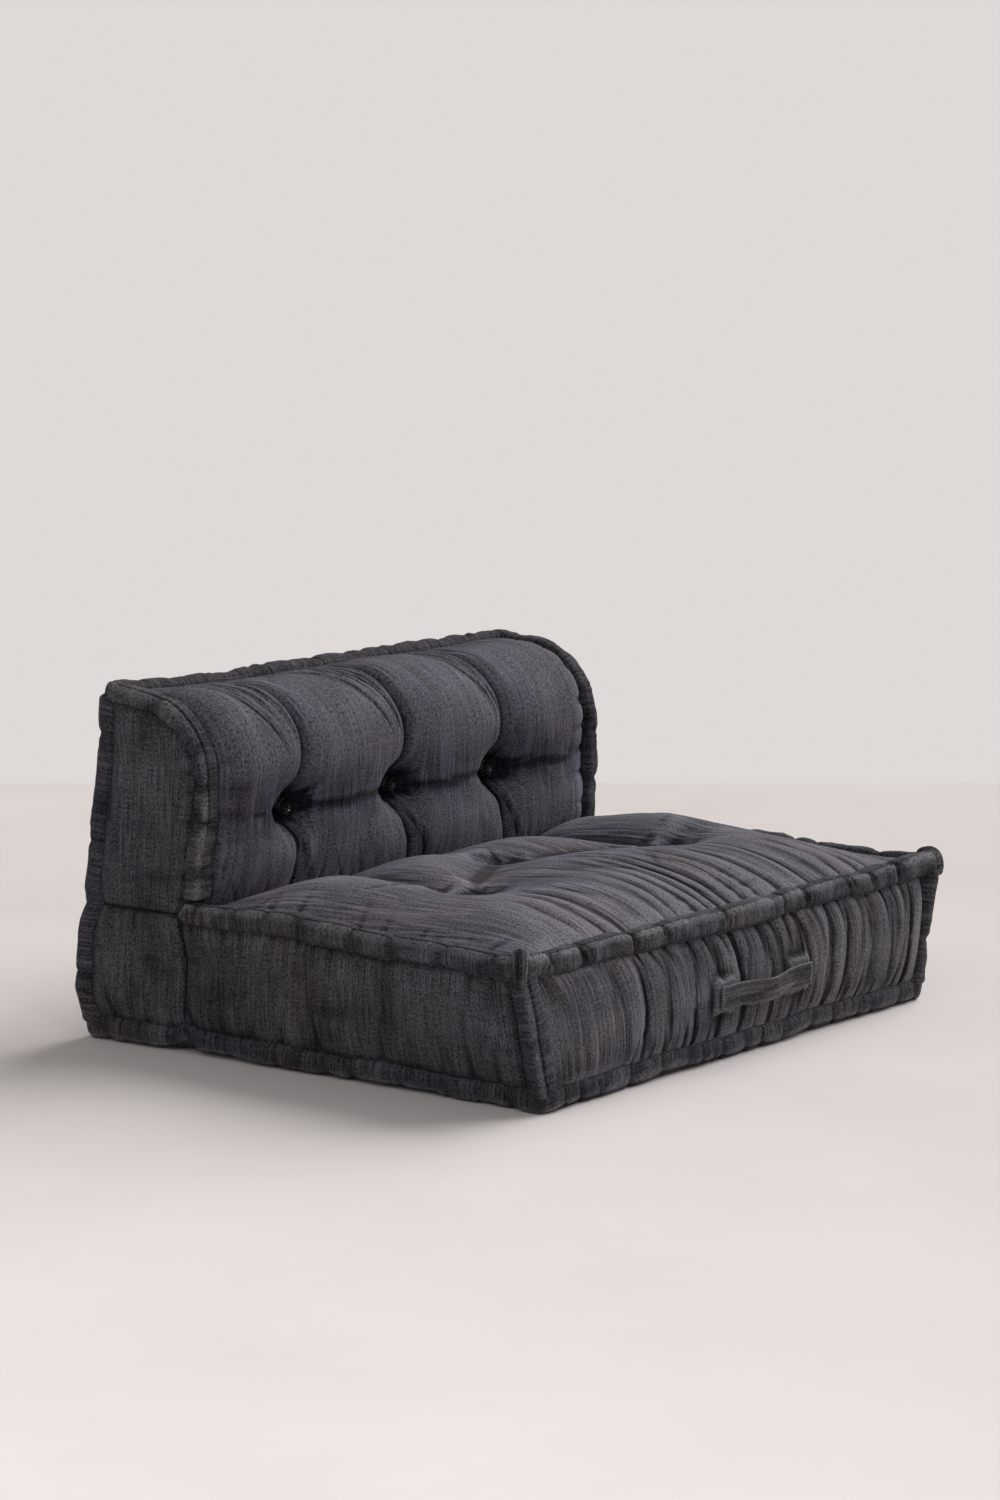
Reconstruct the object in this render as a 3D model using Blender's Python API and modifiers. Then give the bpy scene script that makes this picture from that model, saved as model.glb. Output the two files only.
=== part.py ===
"""Armless floor sofa unit: a tufted seat block and a buttoned back with rolled, stitched edges.

Metres, +Z up. X runs along the width, -Y is the front, and the origin is at the middle of the base.
"""
import math
from functools import partial

import bmesh
import bpy
from mathutils import Matrix, Vector

# Overall sizes
WIDTH = 1.000
EAR_FLARE = 0.035
BACK_INSET = 0.050
DEPTH = 0.800
HEIGHT = 0.490
SEAT_EDGE_HEIGHT = 0.205
SEAT_FRONT_SETBACK = 0.011
BACK_THICKNESS = 0.222
REAR_LEAN = 0.036
BACK_TOP_RADIUS = 0.085
BACK_TOP_FALL = 0.020

# Rolled edges
ROLL_DIAMETER = 0.034
ROLL_PITCH = 0.075
ROLL_PINCH = 0.0032
SEAM_DEPTH = 0.010
CLEARANCE = 0.0003

# Seat pad
SEAT_CROWN = 0.052
SEAT_EDGE_REACH = 0.110
SEAT_REAR_REACH = 0.150
SEAT_TUFT_SPACING = 0.238
SEAT_TUFT_FROM_BACK = 0.275
SEAT_TUFT_STAGGER = 0.115
SEAT_TUFT_DEPTH = 0.026
SEAT_TUFT_SPREAD = 0.062
SEAT_VALLEY_DEPTH = 0.012
SEAT_VALLEY_SPREAD = 0.040

# Back pad
BACK_PAD_DEPTH = 0.060
BACK_SWELL = 0.034
BACK_FOOT_START = 0.018
BACK_FOOT_REACH = 0.095
BACK_TOP_REACH = 0.170
BACK_END_REACH = 0.050
BACK_CREASE_SHARE = 0.85
BACK_FOLD_SHARE = 0.30
BACK_FOLD_SPREAD = 0.035
BUTTON_SPACING = 0.232
BUTTON_ROW_OFFSET = 0.022
BUTTON_HEIGHT = 0.316
BUTTON_SEAT_DEPTH = 0.048
BUTTON_DENT_SPREAD = 0.040

# Front, end and rear cloths
FRONT_SWELL = 0.016
FRONT_PLEAT_PITCH = 0.052
FRONT_PLEAT_DEPTH = 0.007
SIDE_SWELL = 0.009
REAR_SWELL = 0.010
PANEL_EDGE_REACH = 0.050
BACK_SIDE_PEAK_SHARE = 0.9

# Buttons, twine and anchors
BUTTON_DIAMETER = 0.030
BUTTON_THICKNESS = 0.007
BUTTON_WAIST = 0.003
BUTTON_FOOT_DIAMETER = 0.025
BUTTON_DISH = 0.0018
BUTTON_DISH_DIAMETER = 0.021
SHANK_DIAMETER = 0.006
SHANK_LENGTH = 0.003
TWINE_DIAMETER = 0.003
TWINE_BORE = 0.0044
KNOT_DIAMETER = 0.009
ANCHOR_DIAMETER = 0.030
ANCHOR_THICKNESS = 0.004

# Handle
HANDLE_LENGTH = 0.215
HANDLE_WIDTH = 0.032
HANDLE_THICKNESS = 0.0035
HANDLE_SEWN_LENGTH = 0.036
HANDLE_BOW = 0.018
HANDLE_OFF_CENTRE = 0.022
HANDLE_HEIGHT = 0.094
STITCH_DIAMETER = 0.0012
STITCH_MARGIN = 0.005

# Counts and angles that set how finely curved surfaces are cut
ARC_STEPS = 10
BEND_STEPS = 2
ROUND_SIDES = 12
COLUMNS_PER_PUFF = 10
COLUMNS_PER_PLEAT = 4
BACK_ROWS = 20
SEAT_COLUMNS = 32
SEAT_ROWS = 18
PANEL_COLUMNS = 8
PANEL_ROWS = 6
BUTTON_DISH_STEPS = 2
BUTTON_RIM_STEPS = 3
KNOT_STEPS = 5
HANDLE_STEPS = 12
SEWN_STEPS = 8
FLAT_ANGLE = math.radians(0.2)
SHARP_ANGLE = math.radians(50)

# Finishes: colour, roughness
CLOTH = ((0.047, 0.049, 0.055), 0.92)
CLOTH_DARK = ((0.036, 0.038, 0.040), 0.94)
FOAM = ((0.72, 0.64, 0.44), 0.95)
RESIN = ((0.006, 0.006, 0.007), 0.12)
TWINE = ((0.030, 0.030, 0.032), 0.85)
FELT = ((0.18, 0.17, 0.16), 0.95)

# Roll axes: where the middle of each rolled edge runs
R = ROLL_DIAMETER / 2
EDGE = R + CLEARANCE
HALF_FACET = math.pi / ROUND_SIDES
FLAT_EDGE = R * math.cos(HALF_FACET) + CLEARANCE
HALF_GAP = CLEARANCE / 2
WELD = CLEARANCE / 10
X_EAR = WIDTH / 2 - R
X_BASE = X_EAR - EAR_FLARE
X_BACK = X_EAR - BACK_INSET
Y_FRONT_BASE = -DEPTH / 2 + R
Y_FRONT_SEAT = Y_FRONT_BASE + SEAT_FRONT_SETBACK
Y_REAR = DEPTH / 2 - R
Y_REAR_TOP = Y_REAR - REAR_LEAN
Y_BACK = DEPTH / 2 - BACK_THICKNESS + R
Y_SEAM = Y_BACK + R
Z_BASE = R
Z_SEAT = SEAT_EDGE_HEIGHT - R
Z_TOP = HEIGHT - R

# Planes that the foam cores are cut to
X_CORE = min(X_BASE, X_BACK) - R
Y_CORE_REAR = Y_REAR - R
Z_CORE_BASE = Z_BASE + R
Z_CORE_TOP = Z_SEAT - R

# The back's profile: up the front, round an arc, and back along the sloping top
TOP_SLOPE = math.atan2(BACK_TOP_FALL, Y_REAR_TOP - Y_BACK)
REAR_SLOPE = math.atan2(REAR_LEAN, Z_TOP - Z_SEAT)
ARC_TURN = math.pi / 2 - TOP_SLOPE
ARC_TANGENT = BACK_TOP_RADIUS * math.tan(ARC_TURN / 2)
FACE_LENGTH = Z_TOP - BACK_TOP_FALL - Z_SEAT - ARC_TANGENT
ARC_LENGTH = BACK_TOP_RADIUS * ARC_TURN
TOP_LENGTH = math.hypot(Y_REAR_TOP - Y_BACK, BACK_TOP_FALL) - ARC_TANGENT
PROFILE_LENGTH = FACE_LENGTH + ARC_LENGTH + TOP_LENGTH

# How far the straight stretches of the back's edge roll cut inside the arc
BEND_STEP = ROLL_PITCH / (2 * BEND_STEPS)
ROLL_SAG = BACK_TOP_RADIUS * (1.0 - math.cos(BEND_STEP / (2 * BACK_TOP_RADIUS)))

UP = Vector((0, 0, 1))
REARWARD = Vector((0, 1, 0))
PARTS = None
CUTTERS = None
ROOT = None


def clear_scene():
    for old in list(bpy.data.objects):
        bpy.data.objects.remove(old, do_unlink=True)


def new_collection(name):
    collection = bpy.data.collections.new(name)
    bpy.context.scene.collection.children.link(collection)
    return collection


def finish_material(name, finish):
    colour, roughness = finish
    material = bpy.data.materials.new(name + "_finish")
    material.use_nodes = True
    shader = material.node_tree.nodes["Principled BSDF"]
    shader.inputs["Base Color"].default_value = (*colour, 1.0)
    shader.inputs["Roughness"].default_value = roughness
    shader.inputs["Metallic"].default_value = 0.0
    return material


def add_part(name, data, finish):
    """Link a new sub-part with its own material under the unit's root."""
    part = bpy.data.objects.new(name, data)
    part.data.materials.append(finish_material(name, finish))
    part.parent = ROOT
    PARTS.objects.link(part)
    return part


def add_cutter(name, data):
    cutter = bpy.data.objects.new(name, data)
    cutter.hide_render = True
    cutter.display_type = "WIRE"
    CUTTERS.objects.link(cutter)
    return cutter


def cut(part, cutter):
    modifier = part.modifiers.new("cut_" + cutter.name, "BOOLEAN")
    modifier.operation = "DIFFERENCE"
    modifier.solver = "EXACT"
    modifier.object = cutter


def mix(a, b, t):
    return a + (b - a) * t


def round_edge(distance, reach):
    """Quarter-round rise from 0 at an edge to 1 at the given reach."""
    t = 1.0 - min(max(distance / reach, 0.0), 1.0)
    return math.sqrt(1.0 - t * t)


def easy_edge(distance, reach):
    """Parabolic rise from 0 at an edge to 1 at the given reach."""
    t = 1.0 - min(max(distance / reach, 0.0), 1.0)
    return 1.0 - t * t


def bell(distance, spread):
    return math.exp(-(distance / spread) ** 2)


def inset_corner(place, along_a, along_b, from_a, from_b):
    """Move a corner inwards, from_a away from edge a and from_b away from edge b."""
    a = (along_a - place).normalized()
    b = (along_b - place).normalized()
    sine = a.cross(b).length
    return place + a * (from_b / sine) + b * (from_a / sine)


def inset_quad(corners, insets):
    """Inset four corners; insets[i] belongs to the edge from corner i to corner i + 1."""
    result = []
    for i, place in enumerate(corners):
        ahead = corners[(i + 1) % len(corners)]
        behind = corners[i - 1]
        result.append(inset_corner(place, ahead, behind, insets[i], insets[i - 1]))
    return result


def on_quad(corners, u, v):
    low = corners[0].lerp(corners[1], u)
    high = corners[3].lerp(corners[2], u)
    return low.lerp(high, v)


def slab(name, columns, rows, outer, inner, finish):
    """Closed pad between an outer surface and an inner surface, both functions of (u, v)."""
    bm = bmesh.new()
    bmesh.ops.create_grid(bm, x_segments=columns, y_segments=rows, size=0.5)
    face_side = [(vert, vert.co.x + 0.5, vert.co.y + 0.5) for vert in bm.verts]
    result = bmesh.ops.extrude_face_region(bm, geom=bm.faces[:])
    core_verts = [item for item in result["geom"] if isinstance(item, bmesh.types.BMVert)]
    core_side = [(vert, vert.co.x + 0.5, vert.co.y + 0.5) for vert in core_verts]
    for vert, u, v in face_side:
        vert.co = outer(u, v)
    for vert, u, v in core_side:
        vert.co = inner(u, v)
    bm.normal_update()
    hidden = set(core_verts)
    hidden_edges = [edge for edge in bm.edges if all(vert in hidden for vert in edge.verts)]
    bmesh.ops.dissolve_limit(bm, angle_limit=FLAT_ANGLE, verts=core_verts, edges=hidden_edges)
    bmesh.ops.recalc_face_normals(bm, faces=bm.faces[:])
    mesh = bpy.data.meshes.new(name)
    bm.to_mesh(mesh)
    bm.free()
    mesh.shade_smooth()
    mesh.set_sharp_from_angle(angle=SHARP_ANGLE)
    return add_part(name, mesh, finish)


def tube_curve(name, points, radii, cyclic=False, resolution=2):
    """Round tube along a path; radii are given at each point."""
    curve = bpy.data.curves.new(name, "CURVE")
    curve.dimensions = "3D"
    curve.bevel_depth = 1.0
    curve.bevel_resolution = resolution
    curve.use_fill_caps = True
    spline = curve.splines.new("POLY")
    spline.points.add(len(points) - 1)
    for point, place, radius in zip(spline.points, points, radii):
        point.co = (*place, 1.0)
        point.radius = radius
    spline.use_cyclic_u = cyclic
    spline.use_smooth = True
    return curve


def outline_curve(name, outline, half_thickness):
    """Flat closed outline with a thickness."""
    curve = bpy.data.curves.new(name, "CURVE")
    curve.dimensions = "2D"
    curve.fill_mode = "BOTH"
    curve.extrude = half_thickness
    spline = curve.splines.new("POLY")
    spline.points.add(len(outline) - 1)
    for point, place in zip(spline.points, outline):
        point.co = (*place, 0.0, 1.0)
    spline.use_cyclic_u = True
    return curve


def curve_mesh(name, curve):
    """Welded mesh of a curve, for a piece that is cut."""
    guide = bpy.data.objects.new(name + "_guide", curve)
    CUTTERS.objects.link(guide)
    bpy.context.view_layer.update()
    mesh = bpy.data.meshes.new_from_object(guide.evaluated_get(bpy.context.evaluated_depsgraph_get()))
    bpy.data.objects.remove(guide, do_unlink=True)
    mesh.name = name
    bm = bmesh.new()
    bm.from_mesh(mesh)
    bmesh.ops.remove_doubles(bm, verts=bm.verts[:], dist=WELD)
    bmesh.ops.recalc_face_normals(bm, faces=bm.faces[:])
    bm.to_mesh(mesh)
    bm.free()
    return mesh


def roll_curve(name, path, length, fineness=1):
    """Rolled edge along path(t), t from 0 to 1, drawn in at every stitch and full between stitches."""
    steps = 2 * fineness * max(2, round(length / ROLL_PITCH))
    points = [path(i / steps) for i in range(steps + 1)]
    radii = [R - ROLL_PINCH * (0.5 + 0.5 * math.cos(math.pi * i / fineness)) for i in range(steps + 1)]
    return tube_curve(name, points, radii)


def fitted_roll(name, path, length, rooms, fineness=1):
    """Rolled edge whose ends are shaped to the rolls that they meet."""
    roll = add_part(name, curve_mesh(name, roll_curve(name, path, length, fineness)), CLOTH)
    for room in rooms:
        cut(roll, room)


def straight_roll(name, start, end, rooms, trim_start=0.0, trim_end=0.0):
    run = (end - start).normalized()
    first = start + run * trim_start
    last = end - run * trim_end
    fitted_roll(name, partial(first.lerp, last), (last - first).length, rooms)


def cylinder_mesh(name, spots, radius, length, axis, twist=0.0):
    """Plain cylinders in one mesh, each centred on a spot with its length along the axis."""
    turn = UP.rotation_difference(axis).to_matrix().to_4x4() @ Matrix.Rotation(twist, 4, "Z")
    bm = bmesh.new()
    for spot in spots:
        made = bmesh.ops.create_cone(
            bm, cap_ends=True, segments=ROUND_SIDES, radius1=radius, radius2=radius, depth=length
        )
        bmesh.ops.transform(bm, matrix=turn, verts=made["verts"])
        bmesh.ops.translate(bm, vec=spot, verts=made["verts"])
    mesh = bpy.data.meshes.new(name)
    bm.to_mesh(mesh)
    bm.free()
    return mesh


def bore(part, name, spots, radius, length, axis):
    """Cut round holes of one size, each centred on a spot."""
    cut(part, add_cutter(name, cylinder_mesh(name, spots, radius, length, axis)))


def profile_frame(s):
    """Point and outward normal of the back's profile, in (y, z), at a length s from its foot."""
    if s <= FACE_LENGTH:
        return (Y_BACK, Z_SEAT + s), (-1.0, 0.0)
    if s <= FACE_LENGTH + ARC_LENGTH:
        turn = (s - FACE_LENGTH) / BACK_TOP_RADIUS
        normal = (-math.cos(turn), math.sin(turn))
        centre = (Y_BACK + BACK_TOP_RADIUS, Z_SEAT + FACE_LENGTH)
        point = (centre[0] + BACK_TOP_RADIUS * normal[0], centre[1] + BACK_TOP_RADIUS * normal[1])
        return point, normal
    left = PROFILE_LENGTH - s
    point = (Y_REAR_TOP - left * math.cos(TOP_SLOPE), Z_TOP - left * math.sin(TOP_SLOPE))
    return point, (-math.sin(TOP_SLOPE), math.cos(TOP_SLOPE))


def profile_point(s, offset):
    point, normal = profile_frame(s)
    return point[0] + normal[0] * offset, point[1] + normal[1] * offset


def top_end(depth):
    """Profile length at which a layer this far below the top meets the rear cloth."""
    twist = TOP_SLOPE - REAR_SLOPE
    return PROFILE_LENGTH - (EDGE + depth * math.sin(twist)) / math.cos(twist)


def front_line(z):
    """Y of the front edge's axis at a height."""
    return mix(Y_FRONT_BASE, Y_FRONT_SEAT, (z - Z_BASE) / (Z_SEAT - Z_BASE))


def rear_line(z, offset):
    """Y of the leaning rear edge at a height, moved forwards by an offset square to it."""
    t = (z - Z_SEAT) / (Z_TOP - Z_SEAT)
    return mix(Y_REAR, Y_REAR_TOP, t) - offset / math.cos(REAR_SLOPE)


def corner(side, x, y, z):
    return Vector((side * x, y, z))


def make_seat_core():
    low = Vector((-X_CORE + CLEARANCE, Y_FRONT_BASE + EDGE, Z_CORE_BASE + CLEARANCE))
    high = Vector((X_CORE - CLEARANCE, Y_CORE_REAR - CLEARANCE, Z_CORE_TOP - CLEARANCE))
    bm = bmesh.new()
    bmesh.ops.create_cube(bm, size=1.0)
    bmesh.ops.scale(bm, vec=high - low, verts=bm.verts[:])
    bmesh.ops.translate(bm, vec=(low + high) / 2, verts=bm.verts[:])
    for vert in bm.verts:
        if vert.co.y < 0.0:
            vert.co.y = front_line(vert.co.z) + EDGE
    mesh = bpy.data.meshes.new("seat_core")
    bm.to_mesh(mesh)
    bm.free()
    core = add_part("seat_core", mesh, FOAM)
    spots = seat_tufts()
    bore(core, "seat_twine_bores", spots, TWINE_BORE / 2, HEIGHT, UP)
    depth = ANCHOR_THICKNESS + CLEARANCE
    pockets = [spot + UP * low.z for spot in spots]
    bore(core, "seat_anchor_pockets", pockets, ANCHOR_DIAMETER / 2 + CLEARANCE, 2 * depth, UP)


def make_back_core():
    inside = BACK_PAD_DEPTH - R
    stations = [i / BACK_ROWS for i in range(BACK_ROWS + 1)]
    face = [profile_point(back_inner_length(v), -inside - CLEARANCE) for v in stations]
    rear_seat = (rear_line(Z_SEAT, EDGE), Z_SEAT)
    foot_rear = (min(Y_CORE_REAR - CLEARANCE, rear_seat[0]), Z_CORE_TOP)
    outline = face + [rear_seat, foot_rear]
    mesh = curve_mesh("back_core", outline_curve("back_core", outline, X_BACK - EDGE))
    core = add_part("back_core", mesh, FOAM)
    core.rotation_euler = (math.pi / 2, 0.0, math.pi / 2)
    spots = button_spots(0.0)
    bore(core, "back_twine_bores", spots, TWINE_BORE / 2, DEPTH, REARWARD)
    pockets = button_spots(back_anchor_y())
    radius = ANCHOR_DIAMETER / 2 + CLEARANCE
    bore(core, "back_anchor_pockets", pockets, radius, back_pocket_length(), REARWARD)


def row_of_three(spacing):
    return (-spacing, 0.0, spacing)


def button_row():
    """Widths of the three buttons, whose row lies a little to one side of the middle."""
    return [x - BUTTON_ROW_OFFSET for x in row_of_three(BUTTON_SPACING)]


def button_spots(y):
    """Points in line with the three buttons, all at one depth."""
    return [Vector((x, y, BUTTON_HEIGHT)) for x in button_row()]


def seat_tuft_y(x):
    """Depth of the tufted row at a width: its middle lies nearer to the back."""
    share = max(1.0 - abs(x) / SEAT_TUFT_SPACING, 0.0)
    return Y_BACK - R - SEAT_TUFT_FROM_BACK + SEAT_TUFT_STAGGER * share


def seat_tufts():
    return [Vector((x, seat_tuft_y(x), 0.0)) for x in row_of_three(SEAT_TUFT_SPACING)]


def seat_corners():
    """Seat pad outline inside its rolls, from the front left corner round to the rear left."""
    share = (Y_BACK - Y_FRONT_SEAT) / (Y_SEAM - Y_FRONT_SEAT)
    x_rear = mix(X_EAR, X_BACK, share)
    quad = [
        Vector((-X_EAR, Y_FRONT_SEAT, Z_SEAT)),
        Vector((X_EAR, Y_FRONT_SEAT, Z_SEAT)),
        Vector((x_rear, Y_BACK, Z_SEAT)),
        Vector((-x_rear, Y_BACK, Z_SEAT)),
    ]
    return inset_quad(quad, (EDGE, EDGE, EDGE, EDGE))


def seat_rise(x, y, from_side, from_front, from_back):
    """Height of the seat pad above its edge."""
    crown = SEAT_CROWN * round_edge(from_side, SEAT_EDGE_REACH) * round_edge(from_front, SEAT_EDGE_REACH)
    crown *= easy_edge(from_back, SEAT_REAR_REACH)
    share = crown / SEAT_CROWN
    sink = SEAT_VALLEY_DEPTH * bell(y - seat_tuft_y(x), SEAT_VALLEY_SPREAD)
    for tuft in seat_tufts():
        away = math.hypot(x - tuft.x, y - tuft.y)
        valley = SEAT_VALLEY_DEPTH * bell(x - tuft.x, SEAT_VALLEY_SPREAD)
        sink = max(sink, valley, SEAT_TUFT_DEPTH * bell(away, SEAT_TUFT_SPREAD))
    return crown - sink * share


def seat_knot_z(tuft):
    from_side = X_BACK - EDGE - abs(tuft.x)
    from_front = tuft.y - Y_FRONT_SEAT - EDGE
    rise = seat_rise(tuft.x, tuft.y, from_side, from_front, Y_BACK - R - tuft.y)
    return Z_SEAT + R - SEAM_DEPTH + rise


def make_seat_top_pad():
    corners = seat_corners()
    depth = corners[2].y - corners[1].y

    def outer(u, v):
        place = on_quad(corners, u, v)
        half = on_quad(corners, 1.0, v).x
        rise = seat_rise(place.x, place.y, half - abs(place.x), v * depth, (1.0 - v) * depth)
        return place + Vector((0, 0, R - SEAM_DEPTH + rise))

    def inner(u, v):
        return on_quad(corners, u, v) - Vector((0, 0, R))

    pad = slab("seat_top_pad", SEAT_COLUMNS, SEAT_ROWS, outer, inner, CLOTH)
    spots = seat_tufts()
    bore(pad, "seat_pad_bores", spots, TWINE_BORE / 2, HEIGHT, UP)
    knots = [spot + UP * (seat_knot_z(spot) - KNOT_DIAMETER / 2 + SEAT_CROWN / 2) for spot in spots]
    bore(pad, "seat_knot_pockets", knots, KNOT_DIAMETER / 2 + CLEARANCE, SEAT_CROWN, UP)


def back_half_width():
    return X_BACK - EDGE


def back_inner_length(v):
    """Profile length along the inside of the back pad, from its foot to the rear cloth."""
    return mix(-R, top_end(BACK_PAD_DEPTH - R), v)


def button_s():
    return BUTTON_HEIGHT - Z_SEAT


def back_rise(x, s):
    """Swell of the back pad outside its edge, at a width x and a profile length s."""
    half = back_half_width()
    edges = puff_edges()
    cell = sum(x >= edge for edge in edges[1:-1])
    across = (x - edges[cell]) / (edges[cell + 1] - edges[cell])
    puff = math.sin(math.pi * min(max(across, 0.0), 1.0))
    lobe = 1.0 - BACK_CREASE_SHARE * (1.0 - math.sqrt(max(puff, 0.0)))
    fold = 1.0 - BACK_FOLD_SHARE * bell(s - button_s(), BACK_FOLD_SPREAD)
    swell = BACK_SWELL * lobe * fold
    swell *= round_edge(half - abs(x), BACK_END_REACH)
    swell *= easy_edge(s + R - BACK_FOOT_START, BACK_FOOT_REACH)
    swell *= easy_edge(PROFILE_LENGTH - EDGE - s, BACK_TOP_REACH)
    dent = 0.0
    for button_x in button_row():
        dent = max(dent, bell(math.hypot(x - button_x, s - button_s()), BUTTON_DENT_SPREAD))
    return mix(swell, SEAM_DEPTH - BUTTON_SEAT_DEPTH, dent)


def button_seat_y():
    return Y_BACK - R + BUTTON_SEAT_DEPTH


def puff_edges():
    """Widths at which the puffs of the back meet: the ends and the three button columns."""
    return [-back_half_width(), *button_row(), back_half_width()]


def puff_column(u):
    """Spread the pad's columns so that they crowd towards the creases between the puffs."""
    edges = puff_edges()
    place = u * (len(edges) - 1)
    cell = min(int(place), len(edges) - 2)
    t = 0.5 - 0.5 * math.cos(math.pi * (place - cell))
    return mix(edges[cell], edges[cell + 1], t)


def make_back_pad():
    inside = BACK_PAD_DEPTH - R

    def outer(u, v):
        x = puff_column(u)
        s = mix(-R, top_end(SEAM_DEPTH - R), v)
        y, z = profile_point(s, R - SEAM_DEPTH + back_rise(x, s))
        return Vector((x, y, z))

    def inner(u, v):
        y, z = profile_point(back_inner_length(v), -inside)
        return Vector((puff_column(u), y, z))

    columns = COLUMNS_PER_PUFF * (len(puff_edges()) - 1)
    pad = slab("back_pad", columns, BACK_ROWS, outer, inner, CLOTH)
    bore(pad, "back_pad_bores", button_spots(0.0), TWINE_BORE / 2, DEPTH, REARWARD)
    reach = BUTTON_SEAT_DEPTH + BACK_SWELL
    seats = button_spots(button_seat_y() - reach / 2)
    bore(pad, "button_seats", seats, BUTTON_DIAMETER / 2 + CLEARANCE, reach, REARWARD)
    length = 2 * (SHANK_LENGTH + CLEARANCE)
    shanks = button_spots(button_seat_y())
    bore(pad, "shank_seats", shanks, SHANK_DIAMETER / 2 + CLEARANCE, length, REARWARD)


def front_corners():
    quad = [
        Vector((-X_BASE, Y_FRONT_BASE, Z_BASE)),
        Vector((X_BASE, Y_FRONT_BASE, Z_BASE)),
        Vector((X_EAR, Y_FRONT_SEAT, Z_SEAT)),
        Vector((-X_EAR, Y_FRONT_SEAT, Z_SEAT)),
    ]
    return inset_quad(quad, (EDGE, FLAT_EDGE, EDGE, FLAT_EDGE))


def front_pleats():
    return max(2, round(2 * X_BASE / FRONT_PLEAT_PITCH))


def front_face(u, v):
    """Outer surface of the front cloth, gathered into upright pleats."""
    corners = front_corners()
    place = on_quad(corners, u, v)
    height = corners[3].z - corners[0].z
    half = on_quad(corners, 1.0, v).x
    edge = round_edge(half - abs(place.x), PANEL_EDGE_REACH)
    edge *= round_edge(min(v, 1.0 - v) * height, PANEL_EDGE_REACH)
    pleat = FRONT_PLEAT_DEPTH * (0.5 - 0.5 * math.cos(2 * math.pi * front_pleats() * u))
    swell = edge * (FRONT_SWELL - pleat)
    return place - Vector((0, R - SEAM_DEPTH + swell, 0))


def make_front_pad():
    corners = front_corners()

    def inner(u, v):
        return on_quad(corners, u, v) + Vector((0, R, 0))

    columns = COLUMNS_PER_PLEAT * front_pleats()
    slab("seat_front_pad", columns, PANEL_ROWS, front_face, inner, CLOTH)


def end_panel(name, side, quad, insets, swell):
    """Cloth on one end of the unit, with its flat side against the core's end plane.

    The outline is inset as seen from the end, so that it clears the rolls at any flare of the corners.
    """
    corners = inset_quad([Vector((0, place.y, place.z)) for place in quad], insets)
    length = (corners[1] - corners[0]).length
    height = (corners[3] - corners[0]).length

    def flare(y, z):
        along = (y - quad[0].y) / (quad[1].y - quad[0].y)
        up = (z - quad[0].z) / (quad[3].z - quad[0].z)
        return mix(mix(quad[0].x, quad[1].x, along), mix(quad[3].x, quad[2].x, along), up)

    def outer(u, v):
        edge = round_edge(min(u, 1.0 - u) * length, PANEL_EDGE_REACH)
        edge *= round_edge(min(v, 1.0 - v) * height, PANEL_EDGE_REACH)
        place = on_quad(corners, u, v)
        reach = flare(place.y, place.z) + R - SEAM_DEPTH + swell * edge
        return Vector((side * reach, place.y, place.z))

    def inner(u, v):
        place = on_quad(corners, u, v)
        return Vector((side * X_CORE, place.y, place.z))

    slab(name, PANEL_COLUMNS, PANEL_ROWS, outer, inner, CLOTH_DARK)


def make_seat_side(side, tag):
    quad = [
        Vector((X_BASE, Y_FRONT_BASE, Z_BASE)),
        Vector((X_BASE, Y_SEAM, Z_BASE)),
        Vector((X_BACK, Y_SEAM, Z_SEAT)),
        Vector((X_EAR, Y_FRONT_SEAT, Z_SEAT)),
    ]
    end_panel("seat_side_" + tag, side, quad, (EDGE, HALF_GAP, EDGE, EDGE), SIDE_SWELL)


def make_lower_rear_side(side, tag):
    quad = [
        Vector((X_BASE, Y_SEAM, Z_BASE)),
        Vector((X_BASE, Y_REAR, Z_BASE)),
        Vector((X_BASE, Y_REAR, Z_SEAT)),
        Vector((X_BACK, Y_SEAM, Z_SEAT)),
    ]
    end_panel("lower_rear_side_" + tag, side, quad, (EDGE, EDGE, HALF_GAP, HALF_GAP), SIDE_SWELL)


def back_side_rows():
    """Heights of the back's end cloth with the front and rear edge of the cloth at each."""
    low = Z_SEAT + HALF_GAP
    crest = profile_point(top_end(EDGE), -EDGE)
    curve = [(Y_BACK + EDGE, low), (Y_BACK + EDGE, Z_SEAT + FACE_LENGTH)]
    for i in range(1, ARC_STEPS + 1):
        curve.append(profile_point(FACE_LENGTH + ARC_LENGTH * i / ARC_STEPS, -EDGE - ROLL_SAG))
    top_y, top_z = curve[-1]
    peak = (mix(top_y, crest[0], BACK_SIDE_PEAK_SHARE), mix(top_z, crest[1], BACK_SIDE_PEAK_SHARE))
    return [(z, y, rear_line(z, EDGE)) for y, z in curve + [peak]]


def make_back_side(side, tag):
    rows = back_side_rows()
    height = rows[-1][0] - rows[0][0]

    def place(u, v):
        z, front, rear = rows[round(v * (len(rows) - 1))]
        y = mix(front, rear, u)
        lean = mix(X_BASE, X_BACK, (z - Z_SEAT) / (Z_TOP - Z_SEAT))
        return mix(X_BACK, lean, u), y, z, rear - front

    def outer(u, v):
        x, y, z, width = place(u, v)
        edge = round_edge(min(u, 1.0 - u) * width, PANEL_EDGE_REACH)
        edge *= round_edge(min(z - rows[0][0], rows[0][0] + height - z), PANEL_EDGE_REACH)
        return Vector((side * (x + R - SEAM_DEPTH + SIDE_SWELL * edge), y, z))

    def inner(u, v):
        y, z = place(u, v)[1:3]
        return Vector((side * (X_BACK - R), y, z))

    slab("back_side_" + tag, PANEL_ROWS, len(rows) - 1, outer, inner, CLOTH_DARK)


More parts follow.
